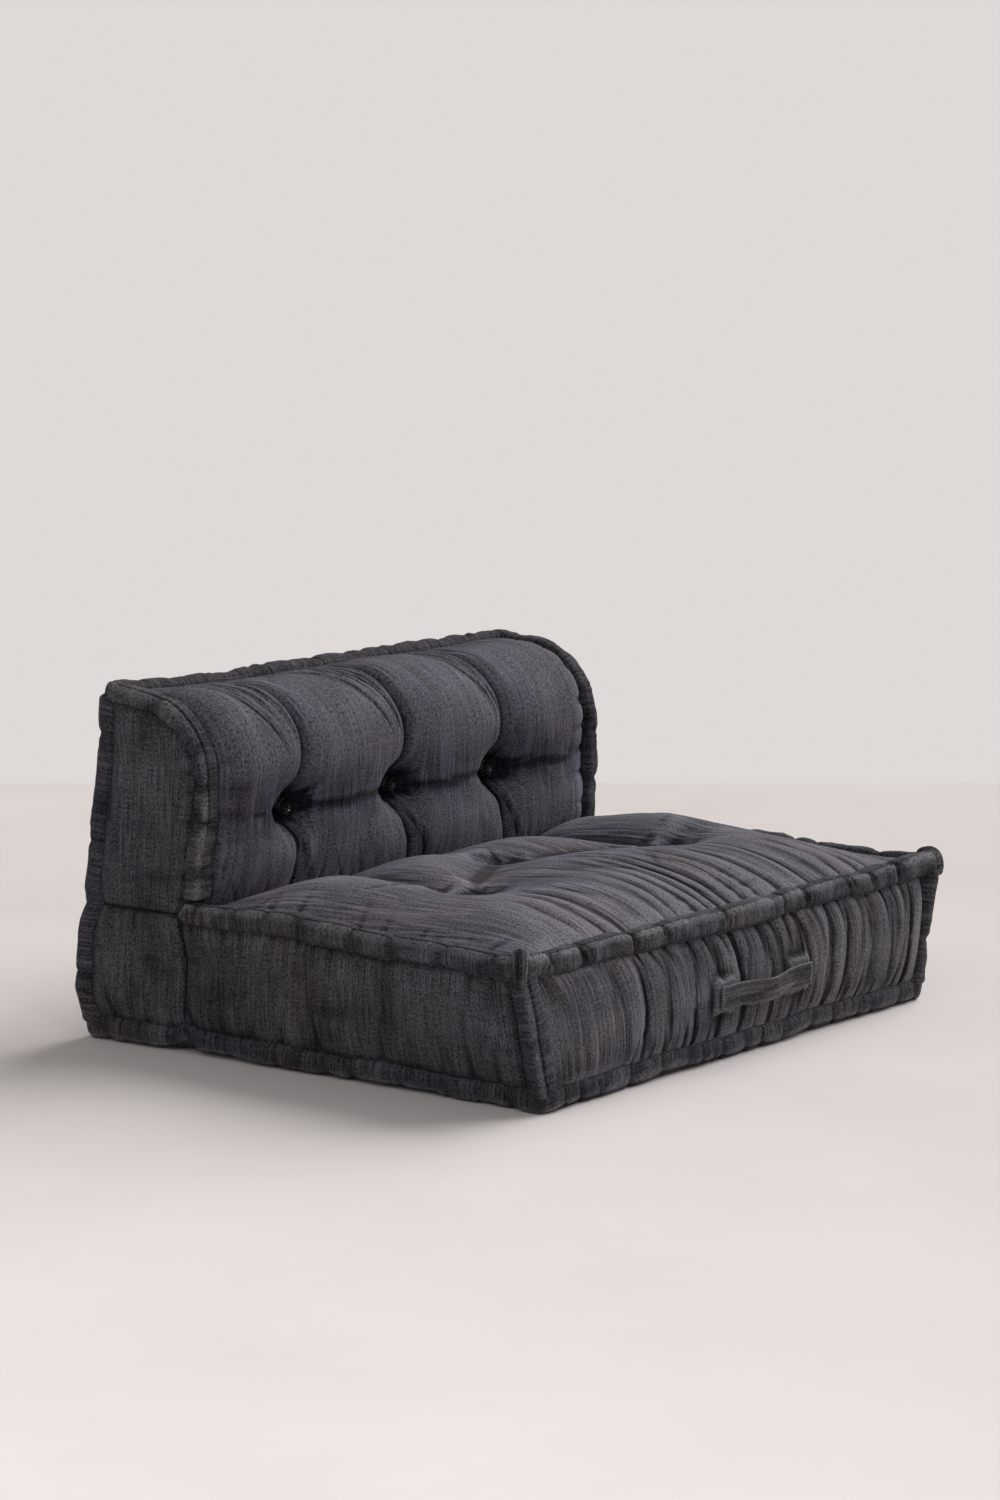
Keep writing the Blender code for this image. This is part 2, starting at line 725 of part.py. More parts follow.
def rear_panel(name, quad, insets, slope):
    """Rear cloth on a plane that leans forwards by a slope; its edges stay level."""
    corners = inset_quad(quad, insets)
    length = (corners[1] - corners[0]).length
    height = (corners[3] - corners[0]).length
    out = Vector((0, 1 / math.cos(slope), 0))

    def outer(u, v):
        edge = round_edge(min(u, 1.0 - u) * length, PANEL_EDGE_REACH)
        edge *= round_edge(min(v, 1.0 - v) * height, PANEL_EDGE_REACH)
        return on_quad(corners, u, v) + out * (R - SEAM_DEPTH + REAR_SWELL * edge)

    def inner(u, v):
        return on_quad(corners, u, v) - out * R

    slab(name, 2 * PANEL_COLUMNS, PANEL_ROWS, outer, inner, CLOTH_DARK)


def make_rear_panels():
    lower = [
        Vector((-X_BASE, Y_REAR, Z_BASE)),
        Vector((X_BASE, Y_REAR, Z_BASE)),
        Vector((X_BASE, Y_REAR, Z_SEAT)),
        Vector((-X_BASE, Y_REAR, Z_SEAT)),
    ]
    rear_panel("rear_lower_panel", lower, (EDGE, EDGE, HALF_GAP, EDGE), 0.0)
    upper = [
        Vector((-X_BASE, Y_REAR, Z_SEAT)),
        Vector((X_BASE, Y_REAR, Z_SEAT)),
        Vector((X_BACK, Y_REAR_TOP, Z_TOP)),
        Vector((-X_BACK, Y_REAR_TOP, Z_TOP)),
    ]
    crest = EDGE / math.cos(REAR_SLOPE)
    rear_panel("rear_upper_panel", upper, (HALF_GAP, EDGE, crest, EDGE), REAR_SLOPE)


def make_base_panel():
    """Base cloth, flat where the unit rests on the floor."""
    quad = [
        Vector((-X_BASE, Y_FRONT_BASE, 0.0)),
        Vector((X_BASE, Y_FRONT_BASE, 0.0)),
        Vector((X_BASE, Y_REAR, 0.0)),
        Vector((-X_BASE, Y_REAR, 0.0)),
    ]
    corners = inset_quad(quad, (EDGE, EDGE, EDGE, EDGE))
    thick = Vector((0, 0, Z_CORE_BASE))
    slab(
        "base_panel",
        1,
        1,
        lambda u, v: on_quad(corners, u, v),
        lambda u, v: on_quad(corners, u, v) + thick,
        CLOTH_DARK,
    )


def roll_room(name, start, end, twist=0.0):
    """Room that other rolls leave for the roll between two points."""
    name += "_room"
    run = end - start
    radius = EDGE / math.cos(HALF_FACET)
    length = run.length + ROLL_DIAMETER
    mesh = cylinder_mesh(name, [(start + end) / 2], radius, length, run.normalized(), twist)
    return add_cutter(name, mesh)


def make_long_rolls():
    """The four rolls that run the whole width; returns the room that each takes."""
    lines = {
        "front_top_roll": (X_EAR + R, Y_FRONT_SEAT, Z_SEAT),
        "front_base_roll": (X_BASE + R, Y_FRONT_BASE, Z_BASE),
        "rear_base_roll": (X_BASE + R, Y_REAR, Z_BASE),
        "rear_top_roll": (X_BACK + R, Y_REAR_TOP, Z_TOP),
    }
    rooms = {}
    for name, place in lines.items():
        first = corner(-1, *place)
        last = corner(1, *place)
        add_part(name, roll_curve(name, partial(first.lerp, last), (last - first).length), CLOTH)
        rooms[name] = roll_room(name, first, last)
    return rooms


def make_end_rolls(side, tag, rooms):
    """The rolls of one end: each stops at the long rolls, and the upright ones at the side rolls too."""
    base_front = corner(side, X_BASE, Y_FRONT_BASE, Z_BASE)
    base_rear = corner(side, X_BASE, Y_REAR, Z_BASE)
    ear = corner(side, X_EAR, Y_FRONT_SEAT, Z_SEAT)
    seat_end = corner(side, X_BACK, Y_SEAM, Z_SEAT)
    rear_seat = corner(side, X_BASE, Y_REAR, Z_SEAT)
    rear_top = corner(side, X_BACK, Y_REAR_TOP, Z_TOP)
    top_start = corner(side, X_BACK, *profile_point(PROFILE_LENGTH - TOP_LENGTH, 0.0))
    front_top = rooms["front_top_roll"]
    front_base = rooms["front_base_roll"]
    rear_base = rooms["rear_base_roll"]
    crest = rooms["rear_top_roll"]

    base_side = roll_room("base_side_roll_" + tag, base_front, base_rear, HALF_FACET)
    straight_roll("base_side_roll_" + tag, base_front, base_rear, (front_base, rear_base))
    seat_side = roll_room("seat_side_roll_" + tag, ear, seat_end, HALF_FACET)
    flare = (seat_end - ear).normalized()
    seam_trim = (CLEARANCE + R * abs(flare.x)) / flare.y
    straight_roll("seat_side_roll_" + tag, ear, seat_end, (front_top,), trim_end=seam_trim)
    uprights = (front_base, base_side, front_top, seat_side)
    straight_roll("front_corner_roll_" + tag, base_front, ear, uprights)

    lean = (rear_top - rear_seat).normalized()
    pinch_trim = R * math.hypot(lean.x, lean.y)
    lower_ends = (rear_base, base_side)
    straight_roll("rear_lower_roll_" + tag, base_rear, rear_seat, lower_ends, trim_end=pinch_trim)
    back_edge = roll_room("back_edge_roll_" + tag, top_start, rear_top, HALF_FACET)
    straight_roll("rear_upper_roll_" + tag, rear_seat, rear_top, (crest, back_edge), trim_start=CLEARANCE)

    def path(t):
        y, z = profile_point(mix(EDGE, PROFILE_LENGTH, t), 0.0)
        return corner(side, X_BACK, y, z)

    fitted_roll("back_edge_roll_" + tag, path, PROFILE_LENGTH - EDGE, (crest,), BEND_STEPS)


def make_button(index, x):
    """Turned button with a dished face, a rounded rim and a short shank."""
    dish = BUTTON_DISH_DIAMETER / 2
    rim = BUTTON_DIAMETER / 2
    shank = SHANK_DIAMETER / 2
    profile = []
    for i in range(BUTTON_DISH_STEPS + 1):
        t = i / BUTTON_DISH_STEPS
        profile.append((dish * t, BUTTON_THICKNESS - BUTTON_DISH * (1.0 - t * t)))
    for i in range(1, BUTTON_RIM_STEPS + 1):
        turn = math.pi / 2 * i / BUTTON_RIM_STEPS
        height = mix(BUTTON_WAIST, BUTTON_THICKNESS, math.cos(turn))
        profile.append((mix(dish, rim, math.sin(turn)), height))
    profile.append((BUTTON_FOOT_DIAMETER / 2, 0.0))
    profile.append((shank, 0.0))
    profile.append((shank, -SHANK_LENGTH))
    profile.append((0.0, -SHANK_LENGTH))
    name = f"back_button_{index}"
    mesh = bpy.data.meshes.new(name)
    edges = [(i, i + 1) for i in range(len(profile) - 1)]
    mesh.from_pydata([(radius, 0.0, z) for radius, z in profile], edges, [])
    button = add_part(name, mesh, RESIN)
    turned = button.modifiers.new("turned", "SCREW")
    turned.steps = ROUND_SIDES
    turned.render_steps = ROUND_SIDES
    turned.use_merge_vertices = True
    turned.merge_threshold = WELD
    turned.use_smooth_shade = True
    button.rotation_euler = (math.pi / 2, 0.0, 0.0)
    button.location = (x, button_seat_y() - CLEARANCE, BUTTON_HEIGHT)


def back_anchor_y():
    """Middle of the pocket that holds a button's anchor, in the rear of the back core."""
    return rear_line(BUTTON_HEIGHT, EDGE)


def back_pocket_length():
    lean = ANCHOR_DIAMETER * math.tan(REAR_SLOPE)
    return 2 * (ANCHOR_THICKNESS + CLEARANCE + lean)


def make_back_ties():
    """Button, twine and anchor of each tuft in the back."""
    floor_y = back_anchor_y() - back_pocket_length() / 2
    start_y = button_seat_y() - CLEARANCE + SHANK_LENGTH + CLEARANCE
    for index, x in enumerate(button_row(), start=1):
        make_button(index, x)
        anchor_y = floor_y + CLEARANCE
        spot = Vector((x, anchor_y + ANCHOR_THICKNESS / 2, BUTTON_HEIGHT))
        name = f"back_anchor_{index}"
        disc = cylinder_mesh(name, [spot], ANCHOR_DIAMETER / 2, ANCHOR_THICKNESS, REARWARD)
        add_part(name, disc, FELT)
        points = [Vector((x, start_y, BUTTON_HEIGHT)), Vector((x, anchor_y - CLEARANCE, BUTTON_HEIGHT))]
        name = f"back_twine_{index}"
        add_part(name, tube_curve(name, points, [TWINE_DIAMETER / 2] * 2), TWINE)


def make_seat_ties():
    """Knotted twine and anchor of each tuft in the seat."""
    anchor_low = Z_CORE_BASE + CLEARANCE
    knot = KNOT_DIAMETER / 2
    for index, tuft in enumerate(seat_tufts(), start=1):
        spot = tuft + UP * (anchor_low + ANCHOR_THICKNESS / 2)
        name = f"seat_anchor_{index}"
        disc = cylinder_mesh(name, [spot], ANCHOR_DIAMETER / 2, ANCHOR_THICKNESS, UP)
        add_part(name, disc, FELT)
        seat = seat_knot_z(tuft) - knot + CLEARANCE
        heights = [anchor_low + ANCHOR_THICKNESS + CLEARANCE, seat]
        radii = [TWINE_DIAMETER / 2] * 2
        for i in range(1, KNOT_STEPS):
            turn = math.pi * i / KNOT_STEPS
            heights.append(seat + knot * (1.0 - math.cos(turn)))
            radii.append(knot * math.sin(turn))
        points = [tuft + UP * z for z in heights]
        name = f"seat_tuft_{index}"
        add_part(name, tube_curve(name, points, radii), TWINE)


def handle_plane():
    """Y of the back of the strap where it is sewn to the front cloth."""
    corners = front_corners()
    height = corners[3].z - corners[0].z
    shares = [i / SEWN_STEPS for i in range(SEWN_STEPS + 1)]
    reaches = [HANDLE_LENGTH / 2 - HANDLE_SEWN_LENGTH * share for share in shares]
    crests = []
    for share in shares:
        z = HANDLE_HEIGHT + HANDLE_WIDTH * (share - 0.5)
        v = (z - corners[0].z) / height
        half = on_quad(corners, 1.0, v).x
        for reach in reaches:
            for x in (HANDLE_OFF_CENTRE - reach, HANDLE_OFF_CENTRE + reach):
                crests.append(front_face((x / half + 1.0) / 2, v).y)
    return min(crests) - CLEARANCE


def make_handle():
    """Cloth strap bowed between its two sewn ends, with a box of stitching on each."""
    plane = handle_plane()
    free = HANDLE_LENGTH - 2 * HANDLE_SEWN_LENGTH
    places = [-HANDLE_LENGTH / 2]
    places += [mix(-free / 2, free / 2, i / HANDLE_STEPS) for i in range(HANDLE_STEPS + 1)]
    places.append(HANDLE_LENGTH / 2)

    def bow(x):
        if abs(x) >= free / 2:
            return 0.0
        return HANDLE_BOW * math.cos(math.pi * x / free) ** 2

    near = [(x + HANDLE_OFF_CENTRE, plane - bow(x)) for x in places]
    far = [(x, y - HANDLE_THICKNESS) for x, y in reversed(near)]
    strap = add_part("handle_strap", outline_curve("handle_strap", near + far, HANDLE_WIDTH / 2), CLOTH)
    strap.location = (0.0, 0.0, HANDLE_HEIGHT)

    y = plane - HANDLE_THICKNESS - CLEARANCE - STITCH_DIAMETER / 2
    rise = HANDLE_WIDTH / 2 - STITCH_MARGIN
    for end, tag in ((-1, "left"), (1, "right")):
        outside = HANDLE_OFF_CENTRE + end * (HANDLE_LENGTH / 2 - STITCH_MARGIN)
        inside = HANDLE_OFF_CENTRE + end * (HANDLE_LENGTH / 2 - HANDLE_SEWN_LENGTH + STITCH_MARGIN)
        box = [(outside, -rise), (inside, -rise), (inside, rise), (outside, rise)]
        points = [Vector((x, y, HANDLE_HEIGHT + z)) for x, z in box]
        name = "handle_stitch_" + tag
        thread = tube_curve(name, points, [STITCH_DIAMETER / 2] * 4, cyclic=True, resolution=1)
        add_part(name, thread, TWINE)


def main():
    global PARTS, CUTTERS, ROOT
    clear_scene()
    PARTS = new_collection("floor_sofa_unit")
    CUTTERS = new_collection("floor_sofa_unit_cutters")
    ROOT = bpy.data.objects.new("floor_sofa_unit_root", None)
    PARTS.objects.link(ROOT)
    make_seat_core()
    make_back_core()
    make_seat_top_pad()
    make_front_pad()
    make_back_pad()
    make_rear_panels()
    make_base_panel()
    rooms = make_long_rolls()
    for side, tag in ((-1, "left"), (1, "right")):
        make_seat_side(side, tag)
        make_lower_rear_side(side, tag)
        make_back_side(side, tag)
        make_end_rolls(side, tag, rooms)
    make_back_ties()
    make_seat_ties()
    make_handle()
    bpy.context.view_layer.update()


main()
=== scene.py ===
"""Cloth, stuffing and finishes of a tufted floor sofa unit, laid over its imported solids."""

import math

import bmesh
import bpy
import numpy as np
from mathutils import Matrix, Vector


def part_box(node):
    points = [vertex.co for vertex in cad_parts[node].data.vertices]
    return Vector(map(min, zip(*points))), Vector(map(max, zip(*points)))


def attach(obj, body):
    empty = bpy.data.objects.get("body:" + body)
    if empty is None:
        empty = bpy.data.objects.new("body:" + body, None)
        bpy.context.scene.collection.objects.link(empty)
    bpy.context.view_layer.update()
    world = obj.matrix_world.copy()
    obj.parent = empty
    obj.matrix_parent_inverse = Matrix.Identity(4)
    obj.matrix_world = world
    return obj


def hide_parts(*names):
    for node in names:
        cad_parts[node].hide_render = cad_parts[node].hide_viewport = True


bl_info = {
    "name": "Tufted Floor Sofa",
    "version": (1, 0, 0),
    "blender": (4, 5, 0),
    "location": "View3D > Sidebar > Floor Sofa",
    "description": "Covers a floor sofa unit with stuffed cotton, rolled edges, buttons and a pull strap",
    "category": "Object",
}

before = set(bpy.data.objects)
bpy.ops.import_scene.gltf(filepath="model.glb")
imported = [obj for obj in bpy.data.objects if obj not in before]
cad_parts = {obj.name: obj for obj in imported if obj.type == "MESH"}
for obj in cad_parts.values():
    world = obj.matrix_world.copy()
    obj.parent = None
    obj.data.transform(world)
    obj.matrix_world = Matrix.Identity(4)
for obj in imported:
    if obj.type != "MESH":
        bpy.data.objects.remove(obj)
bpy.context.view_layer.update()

# Axes of the rolled edges, read from the frame. X is half a width, and the front is at -Y.
_low, _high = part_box("front_top_roll")
R = (_high.z - _low.z) / 2
X_EAR = _high.x - R
Y_FRONT_SEAT = (_low.y + _high.y) / 2
Z_SEAT = (_low.z + _high.z) / 2
_low, _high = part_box("front_base_roll")
X_BASE = _high.x - R
Y_FRONT_BASE = (_low.y + _high.y) / 2
Z_BASE = (_low.z + _high.z) / 2
_low, _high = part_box("rear_base_roll")
Y_REAR = (_low.y + _high.y) / 2
_low, _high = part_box("rear_top_roll")
X_BACK = _high.x - R
Y_REAR_TOP = (_low.y + _high.y) / 2
Z_TOP = (_low.z + _high.z) / 2
_low, _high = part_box("back_edge_roll_left")
Y_BACK = _low.y + R
Y_SEAM = Y_BACK + R

BACK_TOP_RADIUS = 0.085
BACK_TOP_FALL = 0.020
TOP_SLOPE = math.atan2(BACK_TOP_FALL, Y_REAR_TOP - Y_BACK)
ARC_TURN = math.pi / 2 - TOP_SLOPE
ARC_TANGENT = BACK_TOP_RADIUS * math.tan(ARC_TURN / 2)
FACE_LENGTH = Z_TOP - BACK_TOP_FALL - Z_SEAT - ARC_TANGENT
ARC_LENGTH = BACK_TOP_RADIUS * ARC_TURN
TOP_LENGTH = math.hypot(Y_REAR_TOP - Y_BACK, BACK_TOP_FALL) - ARC_TANGENT
PROFILE_LENGTH = FACE_LENGTH + ARC_LENGTH + TOP_LENGTH

BUTTONS = [sum(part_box(f"back_button_{i}"), Vector()) / 2 for i in (1, 2, 3)]
TUFTS = [sum(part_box(f"seat_tuft_{i}"), Vector()) / 2 for i in (1, 2, 3)]
# The cloth is stuffed fuller than the solids, so the buttons and the strap lie this much further out.
BUTTON_LIFT = 0.012
STRAP_LIFT = 0.0085
BUTTON_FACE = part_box("back_button_1")[0].y - BUTTON_LIFT
BUTTON_S = BUTTONS[0].z - Z_SEAT
STRAP_LOW, STRAP_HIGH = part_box("handle_strap")
STRAP_PLANE = STRAP_HIGH.y - STRAP_LIFT
STRAP_THICK = 0.0035
SEWN = 0.036
STRAP_ENDS = ((STRAP_LOW.x, STRAP_LOW.x + SEWN), (STRAP_HIGH.x - SEWN, STRAP_HIGH.x))

# Depth of the seams below the crest of the rolls, and how far the cloths reach under the rolls.
SEAM_DEPTH = 0.010
END_SEAM_DEPTH = 0.0070
UNDER = 0.6 * R
FACE_OFFSET = R - SEAM_DEPTH
END_OFFSET = R - END_SEAM_DEPTH
SEAM_GAP = 0.0002
PANEL_DEPTH = 0.014
CLOTH_STEP = 0.0042
# Reach of a cloth's border, and the share of the swell that the border keeps.
ROLLED = (0.048, 0.0)
SEWN_SEAM = (0.0070, 0.45)
SIDES = ((-1, "left"), (1, "right"))
UV_NAME = "cloth"


def colour(name, description, default):
    return bpy.props.FloatVectorProperty(
        name=name, description=description, subtype="COLOR", size=3, min=0.0, max=1.0, default=default
    )


def length(name, description, default):
    return bpy.props.FloatProperty(
        name=name, description=description, subtype="DISTANCE", unit="LENGTH", min=0.0, default=default
    )


class FloorSofaSizes(bpy.types.PropertyGroup):
    """Depths and heights of the stuffed forms"""

    back_swell: length("Back swell", "How far the puffs of the back stand out of its edge", 0.031)
    crease_share: bpy.props.FloatProperty(
        name="Crease share", description="Part of the back's swell that a crease takes away",
        subtype="FACTOR", min=0.0, max=1.0, default=0.95,
    )
    button_depth: length("Button depth", "How deep the buttons are pulled in below the edge's crest", 0.045)
    seat_crown: length("Seat crown", "Height of the seat's middle above its edge", 0.050)
    tuft_depth: length("Tuft depth", "How deep the seat's tufts are pulled in", 0.037)
    front_swell: length("Front swell", "How far the front cloth stands out of its edge", 0.0195)
    front_pleat: length("Front pleats", "Depth of the gathers in the front cloth", 0.0100)
    end_swell: length("End swell", "How far the end cloths stand out of their edge", 0.0105)
    stitch_length: length("Stitch length", "Length of one hand stitch", 0.0065)
    stitch_pitch: length("Stitch pitch", "Distance from one hand stitch to the next", 0.017)
    thread: length("Thread thickness", "Diameter of the sewing thread", 0.0011)


class FloorSofaColours(bpy.types.PropertyGroup):
    """Colours of the cloths, the thread, the buttons and the stage"""

    # These cloth dyes are one cotton set lighter or darker face by face, partly as painted light and shade for
    # the light on each face and partly for real differences in tint.
    cloth: colour("Seat cloth", "Dyed cotton of the seat", (0.0540, 0.0510, 0.0630))
    back_cloth: colour("Back cloth", "Dyed cotton of the back", (0.0385, 0.0370, 0.0510))
    front_cloth: colour("Front cloth", "Dyed cotton of the front", (0.0425, 0.0398, 0.0460))
    end_cloth: colour("End cloth", "Dyed cotton of the ends and the rear", (0.0475, 0.0465, 0.0510))
    roll_cloth: colour("Roll cloth", "Dyed cotton of the rolled edges", (0.0330, 0.0318, 0.0375))
    # Also the colour of the painted highlights on ridges and of the lint specks.
    worn_and_highlight: colour("Worn cloth", "Colour of the threads where the dye has rubbed off", (0.200, 0.196, 0.212))
    thread: colour("Thread", "Sewing thread", (0.055, 0.055, 0.058))
    button: colour("Button", "Resin of the buttons", (0.006, 0.006, 0.007))
    foam: colour("Foam", "Foam of the cores", (0.72, 0.64, 0.44))
    felt: colour("Felt", "Felt of the anchors inside", (0.18, 0.17, 0.16))
    floor: colour("Floor", "Studio floor", (0.70, 0.65, 0.635))
    wall: colour("Wall", "Studio wall", (0.735, 0.692, 0.684))


def sizes():
    return bpy.context.scene.floor_sofa_sizes


def colours():
    return bpy.context.scene.floor_sofa_colours


# ---------------------------------------------------------------- numbers


def rounded(distance, reach):
    """Quarter circle from 0 at no distance to 1 at the reach."""
    t = 1.0 - np.clip(distance / reach, 0.0, 1.0)
    return np.sqrt(np.maximum(1.0 - t * t, 0.0))


def eased(distance, reach):
    """Parabola from 0 at no distance to 1 at the reach."""
    t = 1.0 - np.clip(distance / reach, 0.0, 1.0)
    return 1.0 - t * t


def bell(distance, spread):
    return np.exp(-((distance / spread) ** 2))


GULLY_BOTTOM = 0.016


def gully(distance, reach):
    """Drawn-in valley: 1 along its soft bottom, 0 from the reach on."""
    away = np.hypot(distance, GULLY_BOTTOM) - GULLY_BOTTOM
    return np.maximum(1.0 - away / reach, 0.0) ** 2


def ramp(value, low, high):
    """Smooth step from 0 at low to 1 at high; low may be the larger."""
    t = np.clip((value - low) / (high - low), 0.0, 1.0)
    return t * t * (3.0 - 2.0 * t)


def uneven(x, y, seed):
    """Smooth random field from -1 to 1 with features about one unit wide."""
    table = np.random.default_rng(seed).uniform(-1.0, 1.0, (61, 67))
    x, y = np.broadcast_arrays(np.asarray(x, float), np.asarray(y, float))
    column = np.floor(x).astype(int)
    row = np.floor(y).astype(int)
    u = x - column
    v = y - row
    u = u * u * (3.0 - 2.0 * u)
    v = v * v * (3.0 - 2.0 * v)
    near = table[column % 61, row % 67] * (1.0 - u) + table[(column + 1) % 61, row % 67] * u
    far = table[column % 61, (row + 1) % 67] * (1.0 - u) + table[(column + 1) % 61, (row + 1) % 67] * u
    return near * (1.0 - v) + far * v


def back_profile(s):
    """Point and outward normal of the back's edge axis, in Y and Z, at a length from the seat."""
    s = np.asarray(s, float)
    turn = np.clip((s - FACE_LENGTH) / BACK_TOP_RADIUS, 0.0, ARC_TURN)
    ny = -np.cos(turn)
    nz = np.sin(turn)
    y = Y_BACK + BACK_TOP_RADIUS * (1.0 + ny)
    z = Z_SEAT + FACE_LENGTH + BACK_TOP_RADIUS * nz + np.minimum(s - FACE_LENGTH, 0.0)
    past = np.maximum(s - FACE_LENGTH - ARC_LENGTH, 0.0)
    return y + past * math.cos(TOP_SLOPE), z + past * math.sin(TOP_SLOPE), ny, nz


def radial_folds(across, along, deep, wide, near, reach, rng):
    """Depth of short folds that run out of a pulled-in point in all directions."""
    out = np.hypot(across, along)
    bearing = np.arctan2(along, across)
    depth = np.zeros_like(out)
    for _ in range(11):
        angle = rng.uniform(-math.pi, math.pi)
        swing = np.abs((bearing - angle + math.pi) % (2 * math.pi) - math.pi) * out
        far = rng.uniform(*reach)
        depth += deep * bell(swing, wide) * ramp(out, near, 0.024) * ramp(out, far, far * 0.4)
    return depth


def random_lines(low, high, pitch, spread, rng):
    """Places between two limits whose spacing varies round a pitch."""
    places = [low + pitch * rng.uniform(0.3, 0.9)]
    while places[-1] < high:
        places.append(places[-1] + pitch * rng.uniform(1.0 - spread, 1.0 + spread))
    return np.array(places[:-1])


# ---------------------------------------------------------------- grids and meshes


def refine(values, axes=(0, 1)):
    """Doubles the rows and columns of a grid with a smooth curve through its points."""
    for axis in axes:
        values = np.moveaxis(values, axis, 0)
        first = 2.0 * values[:1] - values[1:2]
        last = 2.0 * values[-1:] - values[-2:-1]
        wide = np.concatenate([first, values, last])
        between = (9.0 * (wide[1:-2] + wide[2:-1]) - wide[:-3] - wide[3:]) / 16.0
        fine = np.empty((2 * len(values) - 1,) + values.shape[1:])
        fine[0::2] = values
        fine[1::2] = between
        values = np.moveaxis(fine, 0, axis)
    return values


def grid_normals(grid):
    along_rows = np.gradient(grid, axis=0)
    along_columns = np.gradient(grid, axis=1)
    normals = np.cross(along_columns, along_rows)
    return normals / np.maximum(np.linalg.norm(normals, axis=2, keepdims=True), 1e-12)


def blurred(values, radius):
    for axis in (0, 1):
        values = np.moveaxis(values, axis, 0)
        pad = [(radius, radius)] + [(0, 0)] * (values.ndim - 1)
        wide = np.cumsum(np.pad(values, pad, mode="edge"), axis=0)
        wide = np.concatenate([np.zeros_like(wide[:1]), wide])
        span = 2 * radius + 1
        values = np.moveaxis((wide[span:] - wide[:-span]) / span, 0, axis)
    return values


def grid_wear_and_shading(grid, radius, height):
    """Rubbed ridges, positive, for rubbed wear and painted highlight, and sheltered folds, negative, for
    painted shade, from the height above the blurred form.
    """
    normals = grid_normals(grid)
    coarse = grid
    for _ in range(2):
        coarse = blurred(coarse, radius)
    return np.clip(np.sum((grid - coarse) * normals, axis=2) / height, -1.0, 1.0)


def settled(places):
    """Where the stuffed unit's own weight and sewing move its straight edges to."""
    x, y, z = (places[..., axis].copy() for axis in range(3))
    side = np.sign(x)
    off_floor = ramp(z, 0.006, 0.060)
    move = np.zeros_like(places)
    move[..., 0] += 0.0030 * uneven(y / 0.20 + 3.0, z / 0.16, 901) * off_floor
    move[..., 1] += 0.0030 * uneven(x / 0.22 + 5.0, z / 0.16, 902) * off_floor
    move[..., 2] += 0.0030 * uneven(x / 0.22 + 9.0, y / 0.22, 903) * off_floor
    ear = np.exp(-((np.abs(x) - X_EAR) ** 2 + (y - Y_FRONT_SEAT) ** 2 + ((z - Z_SEAT) * 1.4) ** 2) / 0.075 ** 2)
    move += ear[..., None] * np.stack([side * 0.010, np.full_like(x, -0.004), np.full_like(x, 0.006)], axis=-1)
    rear = np.exp(-((np.abs(x) - X_BASE) ** 2 + (y - Y_REAR) ** 2) / 0.070 ** 2)
    belly = ramp(z, 0.020, 0.075) * ramp(z, Z_SEAT + 0.004, Z_SEAT - 0.050)
    move[..., 0] += side * rear * (0.0085 * belly - 0.003 * bell(z - Z_SEAT, 0.014))
    move[..., 1] += rear * (0.0090 * belly - 0.003 * bell(z - Z_SEAT, 0.014))
    arch = ramp(x, 0.20, 0.40) * bell(y + 0.08, 0.13) + 0.35 * ramp(x, -0.20, -0.40) * bell(y - 0.04, 0.09)
    move[..., 2] += 0.015 * arch * ramp(z, 0.090, Z_SEAT) * ramp(z, 0.33, 0.27)
    crown = np.exp(-((x + X_BACK) ** 2 + (y - Y_REAR_TOP) ** 2 + (z - Z_TOP) ** 2) / 0.060 ** 2)
    move += crown[..., None] * np.array([-0.005, 0.004, 0.006])
    foot = ramp(x, 0.08, -0.40) * bell(y - Y_BACK, 0.085) * bell(np.maximum(z - Z_SEAT, 0.0), 0.095)
    move[..., 1] += 0.021 * foot * ramp(z, Z_SEAT - 0.070, Z_SEAT)
    notch = bell(y - Y_SEAM, 0.014) * bell(np.abs(x) - X_BASE - R, 0.020)
    edge = ramp(np.maximum(np.abs(x) / (X_BASE + R), np.abs(y) / (Y_REAR + R)), 0.90, 0.97)
    lift = 0.0060 * np.maximum(uneven(x / 0.16 + 2.0, y / 0.16 + 7.0, 904), 0.0) * edge + 0.013 * notch
    curl = 0.0065 + 0.0025 * uneven(x / 0.09, 1.0, 905)
    lift = lift + curl * ramp(y, Y_FRONT_BASE - 0.2 * R, Y_FRONT_BASE - R)
    move[..., 2] += lift * ramp(z, 0.070, 0.010)
    return places + move


def grid_quads(at):
    """Faces between the rows of a grid of point numbers."""
    return np.stack([at[:-1, :-1], at[:-1, 1:], at[1:, 1:], at[1:, :-1]], axis=-1).reshape(-1, 4).tolist()


def ring_quads(at):
    """Faces between rings of point numbers, each ring closed on itself."""
    nxt = np.roll(at, -1, axis=-1)
    quads = [at[..., :-1, :], nxt[..., :-1, :], nxt[..., 1:, :], at[..., 1:, :]]
    return np.stack(quads, axis=-1).reshape(-1, 4).tolist()


def new_piece(name, vertices, faces, material, uv=None, wear_and_shading=None):
    mesh = bpy.data.meshes.new(name)
    mesh.from_pydata(settled(np.asarray(vertices, float)).tolist(), [], faces)
    if uv is not None:
        corners = np.empty(len(mesh.loops), dtype=np.int32)
        mesh.loops.foreach_get("vertex_index", corners)
        layer = mesh.uv_layers.new(name=UV_NAME)
        layer.data.foreach_set("uv", np.asarray(uv, np.float32)[corners].ravel())
    # Per-point field for the cotton: positive for rubbed wear and painted highlight, negative for painted
    # shade.
    if wear_and_shading is not None:
        field = mesh.attributes.new("wear_and_shading", "FLOAT", "POINT")
        field.data.foreach_set("value", np.asarray(wear_and_shading, np.float32))
    form = bmesh.new()
    form.from_mesh(mesh)
    bmesh.ops.recalc_face_normals(form, faces=form.faces)
    form.to_mesh(mesh)
    form.free()
    mesh.shade_smooth()
    mesh.materials.append(material)
    piece = bpy.data.objects.new(name, mesh)
    bpy.context.scene.collection.objects.link(piece)
    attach(piece, "root")
    return piece


